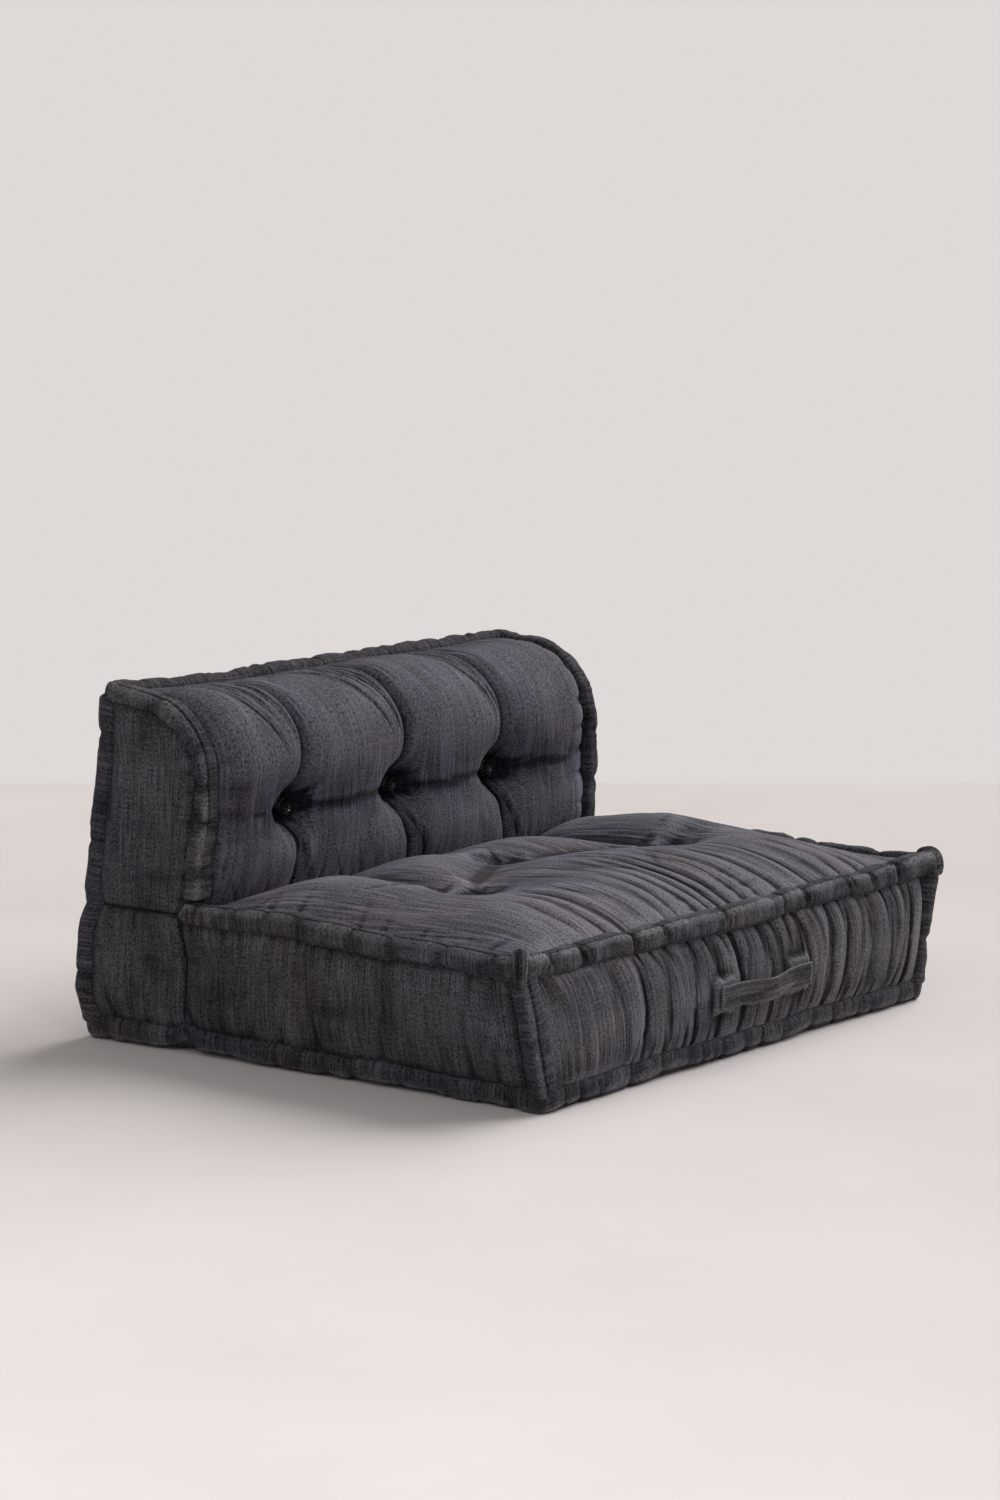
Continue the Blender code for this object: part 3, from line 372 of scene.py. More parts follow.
def pad_piece(name, outer, inner, uv, wear_and_shading, material):
    """Closed pad: a fine outer grid, walls round its border and a ruled inner face."""
    rows, columns = outer.shape[:2]
    border = [(0, c) for c in range(columns)]
    border += [(r, c) for r in range(1, rows - 1) for c in (0, columns - 1)]
    border += [(rows - 1, c) for c in range(columns)]
    inside = {place: rows * columns + i for i, place in enumerate(border)}
    at = np.arange(rows * columns).reshape(rows, columns)
    faces = grid_quads(at)
    ring = [(0, c) for c in range(columns)] + [(r, columns - 1) for r in range(1, rows)]
    ring += [(rows - 1, c) for c in range(columns - 2, -1, -1)] + [(r, 0) for r in range(rows - 2, 0, -1)]
    for here, there in zip(ring, ring[1:] + ring[:1]):
        faces.append([int(at[there]), int(at[here]), inside[here], inside[there]])
    last = columns - 1
    faces.append([inside[0, c] for c in range(columns)] + [inside[1, last], inside[1, 0]])
    for r in range(1, rows - 2):
        faces.append([inside[r, 0], inside[r, last], inside[r + 1, last], inside[r + 1, 0]])
    closing = [inside[rows - 1, c] for c in range(columns - 1, -1, -1)]
    faces.append([inside[rows - 2, 0], inside[rows - 2, last]] + closing)
    picks = np.array(border)
    vertices = np.concatenate([outer.reshape(-1, 3), inner[picks[:, 0], picks[:, 1]]])
    flat_uv = np.concatenate([uv.reshape(-1, 2), uv[picks[:, 0], picks[:, 1]]])
    flat_wear_and_shading = np.concatenate([wear_and_shading.ravel(), wear_and_shading[picks[:, 0], picks[:, 1]]])
    return new_piece(name, vertices, faces, material, flat_uv, flat_wear_and_shading)


# Cloth simulation of a heavy cotton cover over wadding.
COVER = {
    "quality": 6, "mass": 0.3, "air_damping": 4.0, "bending_stiffness": 0.3,
    "tension_stiffness": 15.0, "compression_stiffness": 15.0, "shear_stiffness": 8.0,
    "tension_damping": 10.0, "compression_damping": 10.0, "shear_damping": 8.0,
    "pin_stiffness": 1.0, "use_pressure": True,
}
HOLD_LEVELS = 20


def stuff(grid, cut, held, pressure, frames, cap):
    """Sews a cut of cloth to its held places and stuffs it, by a cloth simulation."""
    rows, columns = grid.shape[:2]
    mesh = bpy.data.meshes.new("stuffing")
    at = np.arange(rows * columns).reshape(rows, columns)
    mesh.from_pydata(grid.reshape(-1, 3).tolist(), [], grid_quads(at))
    cover = bpy.data.objects.new("stuffing", mesh)
    scene = bpy.context.scene
    scene.collection.objects.link(cover)
    group = cover.vertex_groups.new(name="held")
    levels = np.round(np.clip(held, 0.0, 1.0) * HOLD_LEVELS).astype(int).ravel()
    for level in range(1, HOLD_LEVELS + 1):
        picks = np.nonzero(levels == level)[0].tolist()
        if picks:
            group.add(picks, level / HOLD_LEVELS, "REPLACE")
    cover.shape_key_add(name="Basis")
    pattern = cover.shape_key_add(name="cut")
    pattern.data.foreach_set("co", np.asarray(cut, np.float32).ravel())
    pattern.value = 0.0
    cloth = cover.modifiers.new("stuffing", "CLOTH")
    settings = cloth.settings
    for key, value in COVER.items():
        setattr(settings, key, value)
    settings.effector_weights.gravity = 0.0
    settings.vertex_group_mass = group.name
    settings.rest_shape_key = pattern
    settings.uniform_pressure_force = pressure
    cloth.collision_settings.use_collision = False
    cloth.point_cache.frame_start = 1
    cloth.point_cache.frame_end = frames
    for step in range(1, frames + 1):
        scene.frame_set(step)
    result = cover.evaluated_get(bpy.context.evaluated_depsgraph_get())
    stuffed = np.empty(rows * columns * 3)
    result.data.vertices.foreach_get("co", stuffed)
    bpy.data.objects.remove(cover)
    bpy.data.meshes.remove(mesh)
    scene.frame_set(1)
    moved = stuffed.reshape(grid.shape) - grid
    far = np.linalg.norm(moved, axis=2, keepdims=True)
    return grid + moved * np.minimum(1.0, cap / np.maximum(far, 1e-9))


def border_hold(rows, columns):
    held = np.zeros((rows, columns))
    held[[0, -1], :] = 1.0
    held[:, [0, -1]] = 1.0
    return held


# ---------------------------------------------------------------- finishes


class Finish:
    """A node material with short calls for its nodes."""

    def __init__(self, name):
        self.material = bpy.data.materials.new(name)
        self.material.use_nodes = True
        self.tree = self.material.node_tree
        self.shader = self.tree.nodes["Principled BSDF"]
        self.place = self.add("ShaderNodeTexCoord").outputs["Object"]

    def feed(self, socket, value):
        if isinstance(value, bpy.types.NodeSocket):
            self.tree.links.new(value, socket)
        else:
            socket.default_value = value

    def add(self, kind, inputs=None, **settings):
        node = self.tree.nodes.new(kind)
        for key, value in settings.items():
            setattr(node, key, value)
        for key, value in (inputs or {}).items():
            self.feed(node.inputs[key], value)
        return node

    def math(self, operation, a, b, clamp=False):
        return self.add("ShaderNodeMath", {0: a, 1: b}, operation=operation, use_clamp=clamp).outputs[0]

    def total(self, *terms):
        """Sum of fields, each with its share."""
        parts = [self.math("MULTIPLY", field, share) for field, share in terms]
        whole = parts[0]
        for part in parts[1:]:
            whole = self.math("ADD", whole, part)
        return whole

    def scaled(self, vector, scale):
        return self.add("ShaderNodeVectorMath", {0: vector, 1: scale}, operation="MULTIPLY").outputs[0]

    def noise(self, vector, scale, detail, roughness):
        inputs = {"Vector": vector, "Scale": scale, "Detail": detail, "Roughness": roughness}
        return self.add("ShaderNodeTexNoise", inputs).outputs["Fac"]

    def spread(self, value, low, high, to_low=0.0, to_high=1.0):
        inputs = {"Value": value, "From Min": low, "From Max": high, "To Min": to_low, "To Max": to_high}
        return self.add("ShaderNodeMapRange", inputs, clamp=True).outputs["Result"]

    def blend(self, share, a, b, kind="MIX"):
        node = self.add("ShaderNodeMix", data_type="RGBA", blend_type=kind)
        for index, value in ((0, share), (6, a), (7, b)):
            self.feed(node.inputs[index], (*value, 1.0) if isinstance(value, tuple) else value)
        return node.outputs[2]

    def tinted(self, share, a, tint):
        return self.blend(share, a, tint, "MULTIPLY")

    def shades(self, share, dye, dark, light):
        """From a darker to a lighter shade of a dye."""
        dye = np.array(dye)
        return self.blend(share, tuple(dye * dark), tuple(dye * light))

    def set(self, **values):
        for key, value in values.items():
            self.feed(self.shader.inputs[key.replace("_", " ")], value)

    def bump(self, height, strength, distance):
        inputs = {"Height": height, "Strength": strength, "Distance": distance}
        self.set(Normal=self.add("ShaderNodeBump", inputs).outputs["Normal"])


def cotton_finish(name, dye, rub_and_highlight, patches, streaks):
    """Washed slub cotton: woven threads, streaks along the warp and faded patches, with ridges lightened as
    rubbed wear and painted highlight and folds darkened as painted shade.
    """
    dye = np.array(dye)
    worn_and_highlight = tuple(colours().worn_and_highlight)
    finish = Finish(name)
    uv = finish.add("ShaderNodeUVMap", uv_map=UV_NAME).outputs["UV"]
    wear_and_shading = finish.add("ShaderNodeAttribute", attribute_name="wear_and_shading").outputs["Fac"]

    def woven(across, along, detail, roughness):
        return finish.noise(finish.scaled(uv, (across, along, 1.0)), 1.0, detail, roughness)

    warp = woven(300.0, 20.0, 3.0, 0.6)
    weft = woven(24.0, 260.0, 3.0, 0.6)
    grain = woven(330.0, 290.0, 3.0, 0.7)
    streak = woven(95.0, 5.0, 4.0, 0.65)
    slub = woven(210.0, 9.0, 2.0, 0.6)
    lint = woven(170.0, 120.0, 2.0, 0.7)
    cloud = finish.noise(finish.place, 5.5, 4.0, 0.6)
    gloom = finish.noise(finish.scaled(finish.place, (1.0, 1.0, 1.6)), 9.0, 3.0, 0.55)

    tone = finish.spread(finish.total((warp, 0.30), (weft, 0.13), (grain, 0.57)), 0.41, 0.59)
    base = finish.shades(tone, dye, 0.18, 1.95)
    for field, low, high, share, shade in (
        (streak, 0.46, 0.30, 0.55, 0.16),
        (streak, 0.53, 0.70, 0.50, 2.8),
        (slub, 0.48, 0.34, 0.40, 0.12),
        (slub, 0.52, 0.66, 0.40, 3.2),
    ):
        amount = finish.spread(field, low, high, 0.0, min(share * streaks, 0.9))
        base = finish.blend(amount, base, tuple(dye * shade))
    for field, low, high, most, tint in (
        (cloud, 0.50, 0.66, patches, (1.30, 1.06, 0.98)),
        (cloud, 0.48, 0.34, patches, (0.82, 0.88, 1.10)),
        (gloom, 0.46, 0.30, 1.0, (0.50, 0.50, 0.52)),
        (gloom, 0.54, 0.70, 1.0, (1.38, 1.37, 1.38)),
    ):
        base = finish.tinted(finish.spread(field, low, high, 0.0, most), base, tint)

    # Ridges lightened towards the worn colour: rubbed wear and painted highlight.
    grains = finish.spread(grain, 0.36, 0.62, 0.15, 1.0)
    rubbed = finish.math("MULTIPLY", finish.spread(wear_and_shading, 0.05, 0.9), grains)
    rubbed = finish.math("MULTIPLY", rubbed, 0.80 * rub_and_highlight, clamp=True)
    base = finish.blend(rubbed, base, worn_and_highlight)
    # Painted shade: folds and creases darkened.
    base = finish.tinted(finish.spread(wear_and_shading, -0.05, -0.8), base, (0.30, 0.30, 0.31))
    base = finish.blend(finish.spread(lint, 0.68, 0.76, 0.0, 0.60), base, worn_and_highlight)

    finish.set(
        Base_Color=base,
        Roughness=finish.spread(tone, 0.0, 1.0, 0.97, 0.80),
        Specular_IOR_Level=0.10,
        Sheen_Weight=0.05,
        Sheen_Roughness=0.45,
        Sheen_Tint=(0.62, 0.64, 0.70, 1.0),
    )
    finish.bump(finish.total((warp, 0.8), (weft, 0.6), (grain, 0.9)), 0.60, 0.0016)
    return finish.material


def thread_finish():
    finish = Finish("sewing_thread")
    ply = finish.noise(finish.place, 900.0, 2.0, 0.6)
    shade = finish.shades(ply, colours().thread, 0.5, 2.0)
    finish.set(Base_Color=shade, Roughness=0.75, Sheen_Weight=0.2)
    finish.bump(ply, 0.5, 0.0005)
    return finish.material


def button_finish():
    finish = Finish("polished_resin")
    cloud = finish.noise(finish.place, 160.0, 3.0, 0.6)
    scuff = finish.noise(finish.scaled(finish.place, (900.0, 900.0, 240.0)), 1.0, 3.0, 0.65)
    finish.set(
        Base_Color=finish.shades(cloud, colours().button, 0.5, 1.1),
        Roughness=finish.spread(scuff, 0.40, 0.70, 0.05, 0.09),
        Specular_IOR_Level=0.42,
    )
    finish.bump(scuff, 0.08, 0.0003)
    return finish.material


def foam_finish():
    finish = Finish("cut_foam")
    cells = finish.add("ShaderNodeTexVoronoi", {"Vector": finish.place, "Scale": 700.0}).outputs["Distance"]
    cloud = finish.noise(finish.place, 30.0, 4.0, 0.6)
    finish.set(Base_Color=finish.shades(cloud, colours().foam, 0.8, 1.1), Roughness=0.95)
    finish.bump(cells, 0.7, 0.001)
    return finish.material


def felt_finish():
    finish = Finish("pressed_felt")
    hair = finish.noise(finish.place, 420.0, 5.0, 0.75)
    shade = finish.shades(hair, colours().felt, 0.6, 1.5)
    finish.set(Base_Color=shade, Roughness=0.95, Sheen_Weight=0.3)
    finish.bump(hair, 0.6, 0.0008)
    return finish.material


def floor_finish(name, tint):
    """Pale plaster with faint clouds and specks, for the floor and the wall."""
    finish = Finish(name)
    cloud = finish.noise(finish.place, 1.6, 5.0, 0.6)
    speck = finish.noise(finish.place, 140.0, 3.0, 0.7)
    base = finish.shades(finish.spread(cloud, 0.3, 0.7), tint, 0.95, 1.03)
    base = finish.blend(finish.spread(speck, 0.62, 0.75, 0.0, 0.25), base, tuple(np.array(tint) * 0.85))
    finish.set(Base_Color=base, Roughness=0.95, Specular_IOR_Level=0.05)
    finish.bump(speck, 0.1, 0.0005)
    return finish


def shared_finish(name, make):
    """The finish of that name, made once."""
    return bpy.data.materials.get(name) or make()


# Dye of each cotton, how much its ridges are lightened as rubbed wear and painted highlight, and how much it is
# patched and streaked.
COTTONS = {
    "seat_cotton": ("cloth", 1.0, 0.8, 1.9),
    "back_cotton": ("back_cloth", 0.55, 0.8, 1.3),
    "front_cotton": ("front_cloth", 1.0, 0.8, 1.4),
    "dark_cotton": ("end_cloth", 0.8, 0.35, 0.4),
    "rolled_cotton": ("roll_cloth", 1.25, 0.5, 1.0),
    "strap_cotton": ("front_cloth", 1.3, 0.3, 1.0),
}


def cotton(name):
    dye, rub_and_highlight, patches, streaks = COTTONS[name]
    return shared_finish(name, lambda: cotton_finish(name, getattr(colours(), dye), rub_and_highlight, patches, streaks))


def thread():
    return shared_finish("sewing_thread", thread_finish)


# ---------------------------------------------------------------- back cushion

BACK_HALF = X_BACK - UNDER
BACK_END = PROFILE_LENGTH - UNDER
CREASES = [button.x for button in BUTTONS]


def back_columns(cells):
    """Widths across the back that crowd a little towards its creases."""
    edges = [-BACK_HALF, *CREASES, BACK_HALF]
    t = np.linspace(0.0, 1.0, cells + 1)[:-1]
    t = 0.45 * t + 0.55 * (0.5 - 0.5 * np.cos(np.pi * t))
    spans = [low + (high - low) * t for low, high in zip(edges, edges[1:])]
    return np.concatenate(spans + [[BACK_HALF]])


def crease_sway(x, s):
    """Sideways wander of the back's creases between the buttons, the seat and the top."""
    sway = np.zeros_like(x)
    lean = (0.0, 0.016, 0.006)
    for index, crease in enumerate(CREASES):
        near = bell(x - crease, 0.060)
        low = lean[index] * ramp(BUTTON_S - s, 0.02, 0.13)
        wander = 0.005 * uneven(s / 0.055, index * 3.7, 11 + index) * ramp(np.abs(s - BUTTON_S), 0.01, 0.05)
        sway += near * (low + wander)
    return sway


def puff_share(x):
    """Place across a puff, from 0 at one crease to 1 at the next, and the puff's number."""
    edges = np.array([-BACK_HALF, *CREASES, BACK_HALF])
    cell = np.clip(np.searchsorted(edges, x, side="right") - 1, 0, 3)
    return np.clip((x - edges[cell]) / (edges[cell + 1] - edges[cell]), 0.0, 1.0), cell


def back_rise(x, s, fullness):
    """Swell of the back outside its edge line."""
    size = sizes()
    t, cell = puff_share(x)
    spans = np.diff([-BACK_HALF, *CREASES, BACK_HALF])[cell]
    before = np.where(cell == 0, 1.0, t * spans)
    after = np.where(cell == 3, 1.0, (1.0 - t) * spans)
    steep = np.minimum(rounded(before, 0.014), rounded(after, 0.026))
    lobe = 0.30 * np.minimum(rounded(before, 0.050), rounded(after, 0.090)) + 0.70 * steep
    tilt = np.array([0.02, -0.05, 0.04, -0.02])[cell]
    share = size.crease_share * (1.0 - 0.40 * ramp(s, BUTTON_S + 0.13, BACK_END))
    lobe = 1.0 - share * (1.0 - lobe) + tilt
    fold = 1.0 - 0.14 * bell(s - BUTTON_S - 0.004, 0.034)
    swell = size.back_swell * fullness * lobe * fold
    from_end = BACK_HALF - np.abs(x)
    bays = np.sqrt(np.abs(np.sin(np.pi * (s + 0.012) / 0.037 + 0.5 * uneven(s / 0.05, x > 0, 6))))
    swell = swell * eased(from_end - np.where(x > 0.0, 0.009, 0.002) * (1.0 - bays), 0.058)
    swell = swell * eased(s + R - 0.010, 0.075)
    swell = swell * eased(BACK_END - s, 0.200)
    swell = swell + 0.0026 * uneven(x / 0.07, s / 0.06, 5) * rounded(from_end, 0.05)
    swell = swell - 0.006 * bell(from_end, 0.014)
    dent = np.zeros_like(x)
    for crease in CREASES:
        away = np.hypot((x - crease) * np.where(x < crease, 0.72, 1.35), s - BUTTON_S)
        dent = np.maximum(dent, 0.78 * bell(np.maximum(away - 0.011, 0.0), 0.022) + 0.22 * bell(away, 0.060))
    return swell * (1.0 - dent) + (SEAM_DEPTH - size.button_depth) * dent


def fan_of_folds(x, run, crease, side, reaches, curve, depths, widths, starts):
    """Gathers that leave a crease one after the other and spread out along it; run goes from 0 to 1."""
    depth = np.zeros_like(x)
    for reach, deep, wide, start in zip(reaches, depths, widths, starts):
        line = crease + side * reach * run ** curve + 0.0025 * uneven(run * 6.0, reach * 300.0, 40)
        depth += deep * ramp(run, start, start + 0.30) * bell(x - line, wide * (0.7 + 0.6 * run))
    return depth


def back_folds(x, s):
    """Narrow gathers that fan out of the creases, below the height of the stuffed form."""
    rng = np.random.default_rng(21)
    depth = np.zeros_like(x)
    for index, crease in enumerate(CREASES):
        for side, count, deep in ((-1, 9, 0.0060), (1, 1, 0.0020)):
            start = BUTTON_S + rng.uniform(0.020, 0.040)
            climb = np.clip((s - start) / (BACK_END - start), 0.0, 1.0)
            reaches = 0.008 + np.cumsum(rng.uniform(0.006, 0.020, count))
            depths = deep * rng.uniform(0.35, 1.0, count) * np.linspace(1.0, 0.7, count)
            widths = rng.uniform(0.0022, 0.0042, count)
            starts = rng.uniform(0.02, 0.40, count)
            depth += fan_of_folds(x, climb, crease, side, reaches, 0.66, depths, widths, starts)
        strong = 1.8 if index == 1 else 1.0
        for side, count, deep in ((-1, 3, 0.0032), (1, 4, 0.0042 * strong)):
            start = BUTTON_S - rng.uniform(0.014, 0.022)
            drop = np.clip((start - s) / (start + R), 0.0, 1.0)
            reaches = 0.004 + np.cumsum(rng.uniform(0.006, 0.013, count))
            depths = deep * rng.uniform(0.5, 1.0, count)
            widths = rng.uniform(0.0036, 0.0056, count)
            starts = np.full(count, 0.03)
            depth += fan_of_folds(x, drop, crease, side, reaches, 1.1, depths, widths, starts)
        depth += radial_folds(x - crease, s - BUTTON_S, 0.0015, 0.0040, 0.010, (0.040, 0.085), rng)
    edges = [*CREASES, BACK_HALF]
    for low, high in zip(edges, edges[1:]):
        along = (x - low) / (high - low)
        line = BUTTON_S + 0.004 + 0.008 * uneven(x / 0.06, low * 9.0, 71)
        above = s - line
        spread = np.where(above > 0.0, 0.0050, 0.013)
        fade = ramp(along, 0.04, 0.16) * ramp(along, 0.75, 0.30) * (along > 0.0)
        depth += 0.0026 * bell(above, spread) * fade
    for low, high in zip([-BACK_HALF, *CREASES], CREASES):
        along = (high - x) / (high - low)
        line = BUTTON_S + 0.002 + 0.006 * uneven(x / 0.05, low * 9.0, 72)
        fade = ramp(along, 0.03, 0.12) * ramp(along, 0.50, 0.22) * (along > 0.0)
        depth += 0.0034 * bell(s - line, 0.006) * fade
    for place in random_lines(-BACK_HALF, BACK_HALF, 0.021, 0.45, rng):
        line = place + rng.uniform(-0.4, 0.4) * (BACK_END - s)
        reach = rng.uniform(0.05, 0.11)
        deep, wide = rng.uniform(0.0008, 0.0026), rng.uniform(0.003, 0.005)
        depth += deep * bell(x - line, wide) * ramp(s, BACK_END - reach, BACK_END)
    for place in random_lines(-BACK_HALF, BACK_HALF, 0.028, 0.5, rng):
        line = place + rng.uniform(-0.2, 0.7) * (0.05 - s)
        reach = rng.uniform(0.03, 0.09)
        deep, wide = rng.uniform(0.0010, 0.0040), rng.uniform(0.0035, 0.0055)
        depth += deep * bell(x - line, wide) * ramp(s, reach, 0.0)
    for sign, share in ((-1, 0.3), (1, 1.0)):
        for place in random_lines(0.0, BACK_END, 0.036, 0.4, rng):
            from_end = BACK_HALF - sign * x
            line = place + rng.uniform(-0.3, 0.3) * from_end
            deep, reach = share * rng.uniform(0.0008, 0.0022), rng.uniform(0.04, 0.08)
            depth += deep * bell(s - line, 0.0060) * ramp(from_end, reach, 0.0)
    return depth


def make_back_cushion():
    columns = back_columns(46)
    lengths = np.linspace(-R, BACK_END, 88)
    s, x = np.meshgrid(lengths, columns, indexing="ij")
    y, z, ny, nz = back_profile(s)

    def laid(fullness, widen):
        offset = FACE_OFFSET + back_rise(x, s, fullness)
        wide = (x + crease_sway(x, s)) * widen
        return np.stack([wide, y + ny * offset, z + nz * offset], axis=-1)

    start = laid(0.94, 1.0)
    cut = laid(1.04, 1.012)
    held = border_hold(*x.shape)
    for crease in CREASES:
        held = np.maximum(held, 0.9 * bell(x - crease, 0.004))
        held = np.maximum(held, bell(np.hypot(x - crease, s - BUTTON_S), 0.016) > 0.5)
    form = stuff(start, cut, held, 4.0, 22, 0.024)
    form, x, s, y, z, ny, nz = (refine(refine(part), (1,)) for part in (form, x, s, y, z, ny, nz))
    fade = ramp(s, -R, 0.010)
    form = form - grid_normals(form) * (back_folds(x, s) * fade)[..., None]
    inner = np.stack([x, y - ny * 0.040, z - nz * 0.040], axis=-1)
    # Painted highlight on ridges and painted shade in creases and folds, fine and coarse.
    wear_and_shading = grid_wear_and_shading(form, 5, 0.0014) + 0.35 * grid_wear_and_shading(form, 20, 0.006)
    # Painted light: the lower puffs, below the buttons, are lightened.
    wear_and_shading = np.clip(wear_and_shading + 0.50 * ramp(s, BUTTON_S + 0.010, BUTTON_S - 0.040), -1.0, 1.0)
    uv = np.stack([x, s], axis=-1)
    piece = pad_piece("back_cushion", form, inner, uv, wear_and_shading, cotton("back_cotton"))
    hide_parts("back_pad")


# ---------------------------------------------------------------- seat cushion

SEAT_FRONT = Y_FRONT_SEAT + UNDER
SEAT_REAR = Y_BACK - 0.006


def seat_half(y):
    """Half the seat's width at a depth: it widens towards the ears."""
    t = (y - Y_FRONT_SEAT) / (Y_SEAM - Y_FRONT_SEAT)
    return X_EAR + (X_BACK - X_EAR) * t - UNDER


def row_depth(x):
    """Depth of the seat's tufted row at a width: its middle lies nearer to the back."""
    return np.interp(x, [spot.x for spot in TUFTS], [spot.y for spot in TUFTS])


def row_hold(x):
    """Share of the tufted row's draw at a width: it fades out beyond the first and the last tuft."""
    return ramp(x, TUFTS[0].x - 0.150, TUFTS[0].x - 0.010) * ramp(x, TUFTS[2].x + 0.170, TUFTS[2].x + 0.020)


def seat_rise(x, y, fullness):
    """Swell of the seat above its edge line."""
    size = sizes()
    from_side = seat_half(y) - np.abs(x)
    from_front = y - SEAT_FRONT
    sat_down = ramp(x, -0.10, 0.20) * ramp(y - row_depth(x), 0.09, -0.07)
    rear_reach = 0.150 - 0.070 * ramp(x, 0.10, 0.30)
    crown = eased(from_side, 0.165 + 0.070 * sat_down) * eased(SEAT_REAR - y, rear_reach)
    crown = crown * (0.5 * rounded(from_front, 0.130) + 0.5 * eased(from_front, 0.150))
    ahead = y - row_depth(x)
    sink = 0.021 * row_hold(x) * gully(ahead, np.where(ahead < 0.0, 0.165, 0.125))
    for index, tuft in enumerate(TUFTS):
        away = np.hypot(x - tuft.x, y - tuft.y)
        behind = 0.014 if index == 1 else 0.034
        valley = gully(x - tuft.x, 0.125) * (0.010 + (behind - 0.010) * ramp(y - tuft.y, -0.02, 0.06))
        sink = np.maximum(sink, np.maximum(valley, size.tuft_depth * gully(away, 0.120)))
    lumps = 0.0026 * uneven(x / 0.08, y / 0.09, 8) + 0.0035 * uneven(x / 0.17, y / 0.15, 9)
    high = 0.015 * bell(x - 0.37, 0.12) * bell(y - 0.01, 0.14)
    high = high + 0.006 * bell(x + 0.34, 0.10) * bell(y - 0.02, 0.10)
    return (size.seat_crown * fullness + lumps + high - sink) * crown


def seat_folds(x, y):
    """Pleats that run from the front edge and the ends towards the tufts."""
    rng = np.random.default_rng(33)
    depth = np.zeros_like(x)
    climb = np.clip((y - SEAT_FRONT) / (row_depth(x) - SEAT_FRONT), 0.0, 1.2)
    pitch = TUFTS[2].x - TUFTS[1].x
    drawn = 0.25 * climb ** 1.5 * pitch / (2 * math.pi) * np.sin(2 * math.pi * x / pitch)
    place = x + drawn + 0.012 * climb ** 2 + 0.005 * uneven(x / 0.05, y / 0.05, 51)
    ribs = np.concatenate([[-0.7], random_lines(-X_EAR, X_EAR, 0.043, 0.45, rng), [0.7]])
    cell = np.clip(np.searchsorted(ribs, place, side="right") - 1, 0, len(ribs) - 2)
    t = np.clip((place - ribs[cell]) / (ribs[cell + 1] - ribs[cell]), 0.0, 1.0)
    deep = 0.0085 * rng.uniform(0.25, 1.0, len(ribs)) ** 1.5 * (0.08 + 0.92 * ramp(ribs, -0.42, -0.24))
    ends = rng.uniform(0.55, 1.10, len(ribs))
    crest = np.maximum(np.sin(np.pi * t), 0.0)
    valley = (1.0 - 0.7 * crest - 0.3 * np.sqrt(crest)) * ramp(np.minimum(cell, len(ribs) - 2 - cell), 0, 1)
    amount = deep[cell] * (1.0 - t) + deep[cell + 1] * t
    end = ends[cell] * (1.0 - t) + ends[cell + 1] * t
    amount = amount * (0.65 + 0.35 * uneven(x / 0.05, y / 0.07, 53))
    depth += amount * valley * ramp(climb, end, 0.25 * end)
    for _ in range(7):
        spot = rng.uniform(-0.30, X_EAR - 0.04)
        line = spot - drawn * 0.5 - 0.02 * climb ** 2
        low, high = np.sort(rng.uniform(0.0, 0.8, 2))
        fade = ramp(climb, low - 0.1, low + 0.1) * ramp(climb, high + 0.15, high - 0.05)
        depth += rng.uniform(0.0010, 0.0020) * bell(x - line, rng.uniform(0.0050, 0.0075)) * fade
    for tuft in TUFTS:
        depth += radial_folds(x - tuft.x, y - tuft.y, 0.0011, 0.0048, 0.008, (0.035, 0.095), rng)
    for sign in (-1, 1):
        from_side = seat_half(y) - sign * x
        for place in random_lines(SEAT_FRONT + 0.03, SEAT_REAR, 0.042, 0.45, rng):
            line = place + rng.uniform(-0.5, 0.5) * from_side
            far = rng.uniform(0.03, 0.09)
            depth += rng.uniform(0.0005, 0.0020) * bell(y - line, 0.0060) * ramp(from_side, far, 0.0)
    return depth


def make_seat_cushion():
    depths = np.linspace(SEAT_FRONT, SEAT_REAR, 104)
    shares = np.linspace(-1.0, 1.0, 170)
    y, share = np.meshgrid(depths, shares, indexing="ij")
    x = share * seat_half(y)

    def laid(fullness, widen):
        return np.stack([x * widen, y, Z_SEAT + FACE_OFFSET + seat_rise(x, y, fullness)], axis=-1)

    start = laid(0.95, 1.0)
    cut = laid(1.03, 1.008)
    held = border_hold(*x.shape)
    held = np.maximum(held, 0.4 * row_hold(x) * bell(y - row_depth(x), 0.012))
    for index, tuft in enumerate(TUFTS):
        held = np.maximum(held, bell(np.hypot(x - tuft.x, y - tuft.y), 0.012) > 0.5)
        if index != 1:
            held = np.maximum(held, 0.7 * bell(x - tuft.x, 0.010) * ramp(y - tuft.y, 0.0, 0.05))
    form = stuff(start, cut, held, 2.5, 20, 0.024)
    form, x, y = (refine(part) for part in (form, x, y))
    form = form - grid_normals(form) * seat_folds(x, y)[..., None]
    inner = np.stack([x, y, np.full_like(x, Z_SEAT - R)], axis=-1)
    # Painted highlight on ridges and painted shade in pleats and valleys, fine and coarse.
    wear_and_shading = np.clip(grid_wear_and_shading(form, 4, 0.0013) + 0.5 * grid_wear_and_shading(form, 16, 0.006), -1.0, 1.0)
    uv = np.stack([x, y], axis=-1)
    piece = pad_piece("seat_cushion", form, inner, uv, wear_and_shading, cotton("seat_cotton"))
    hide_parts("seat_top_pad")
    make_tuft_ties()


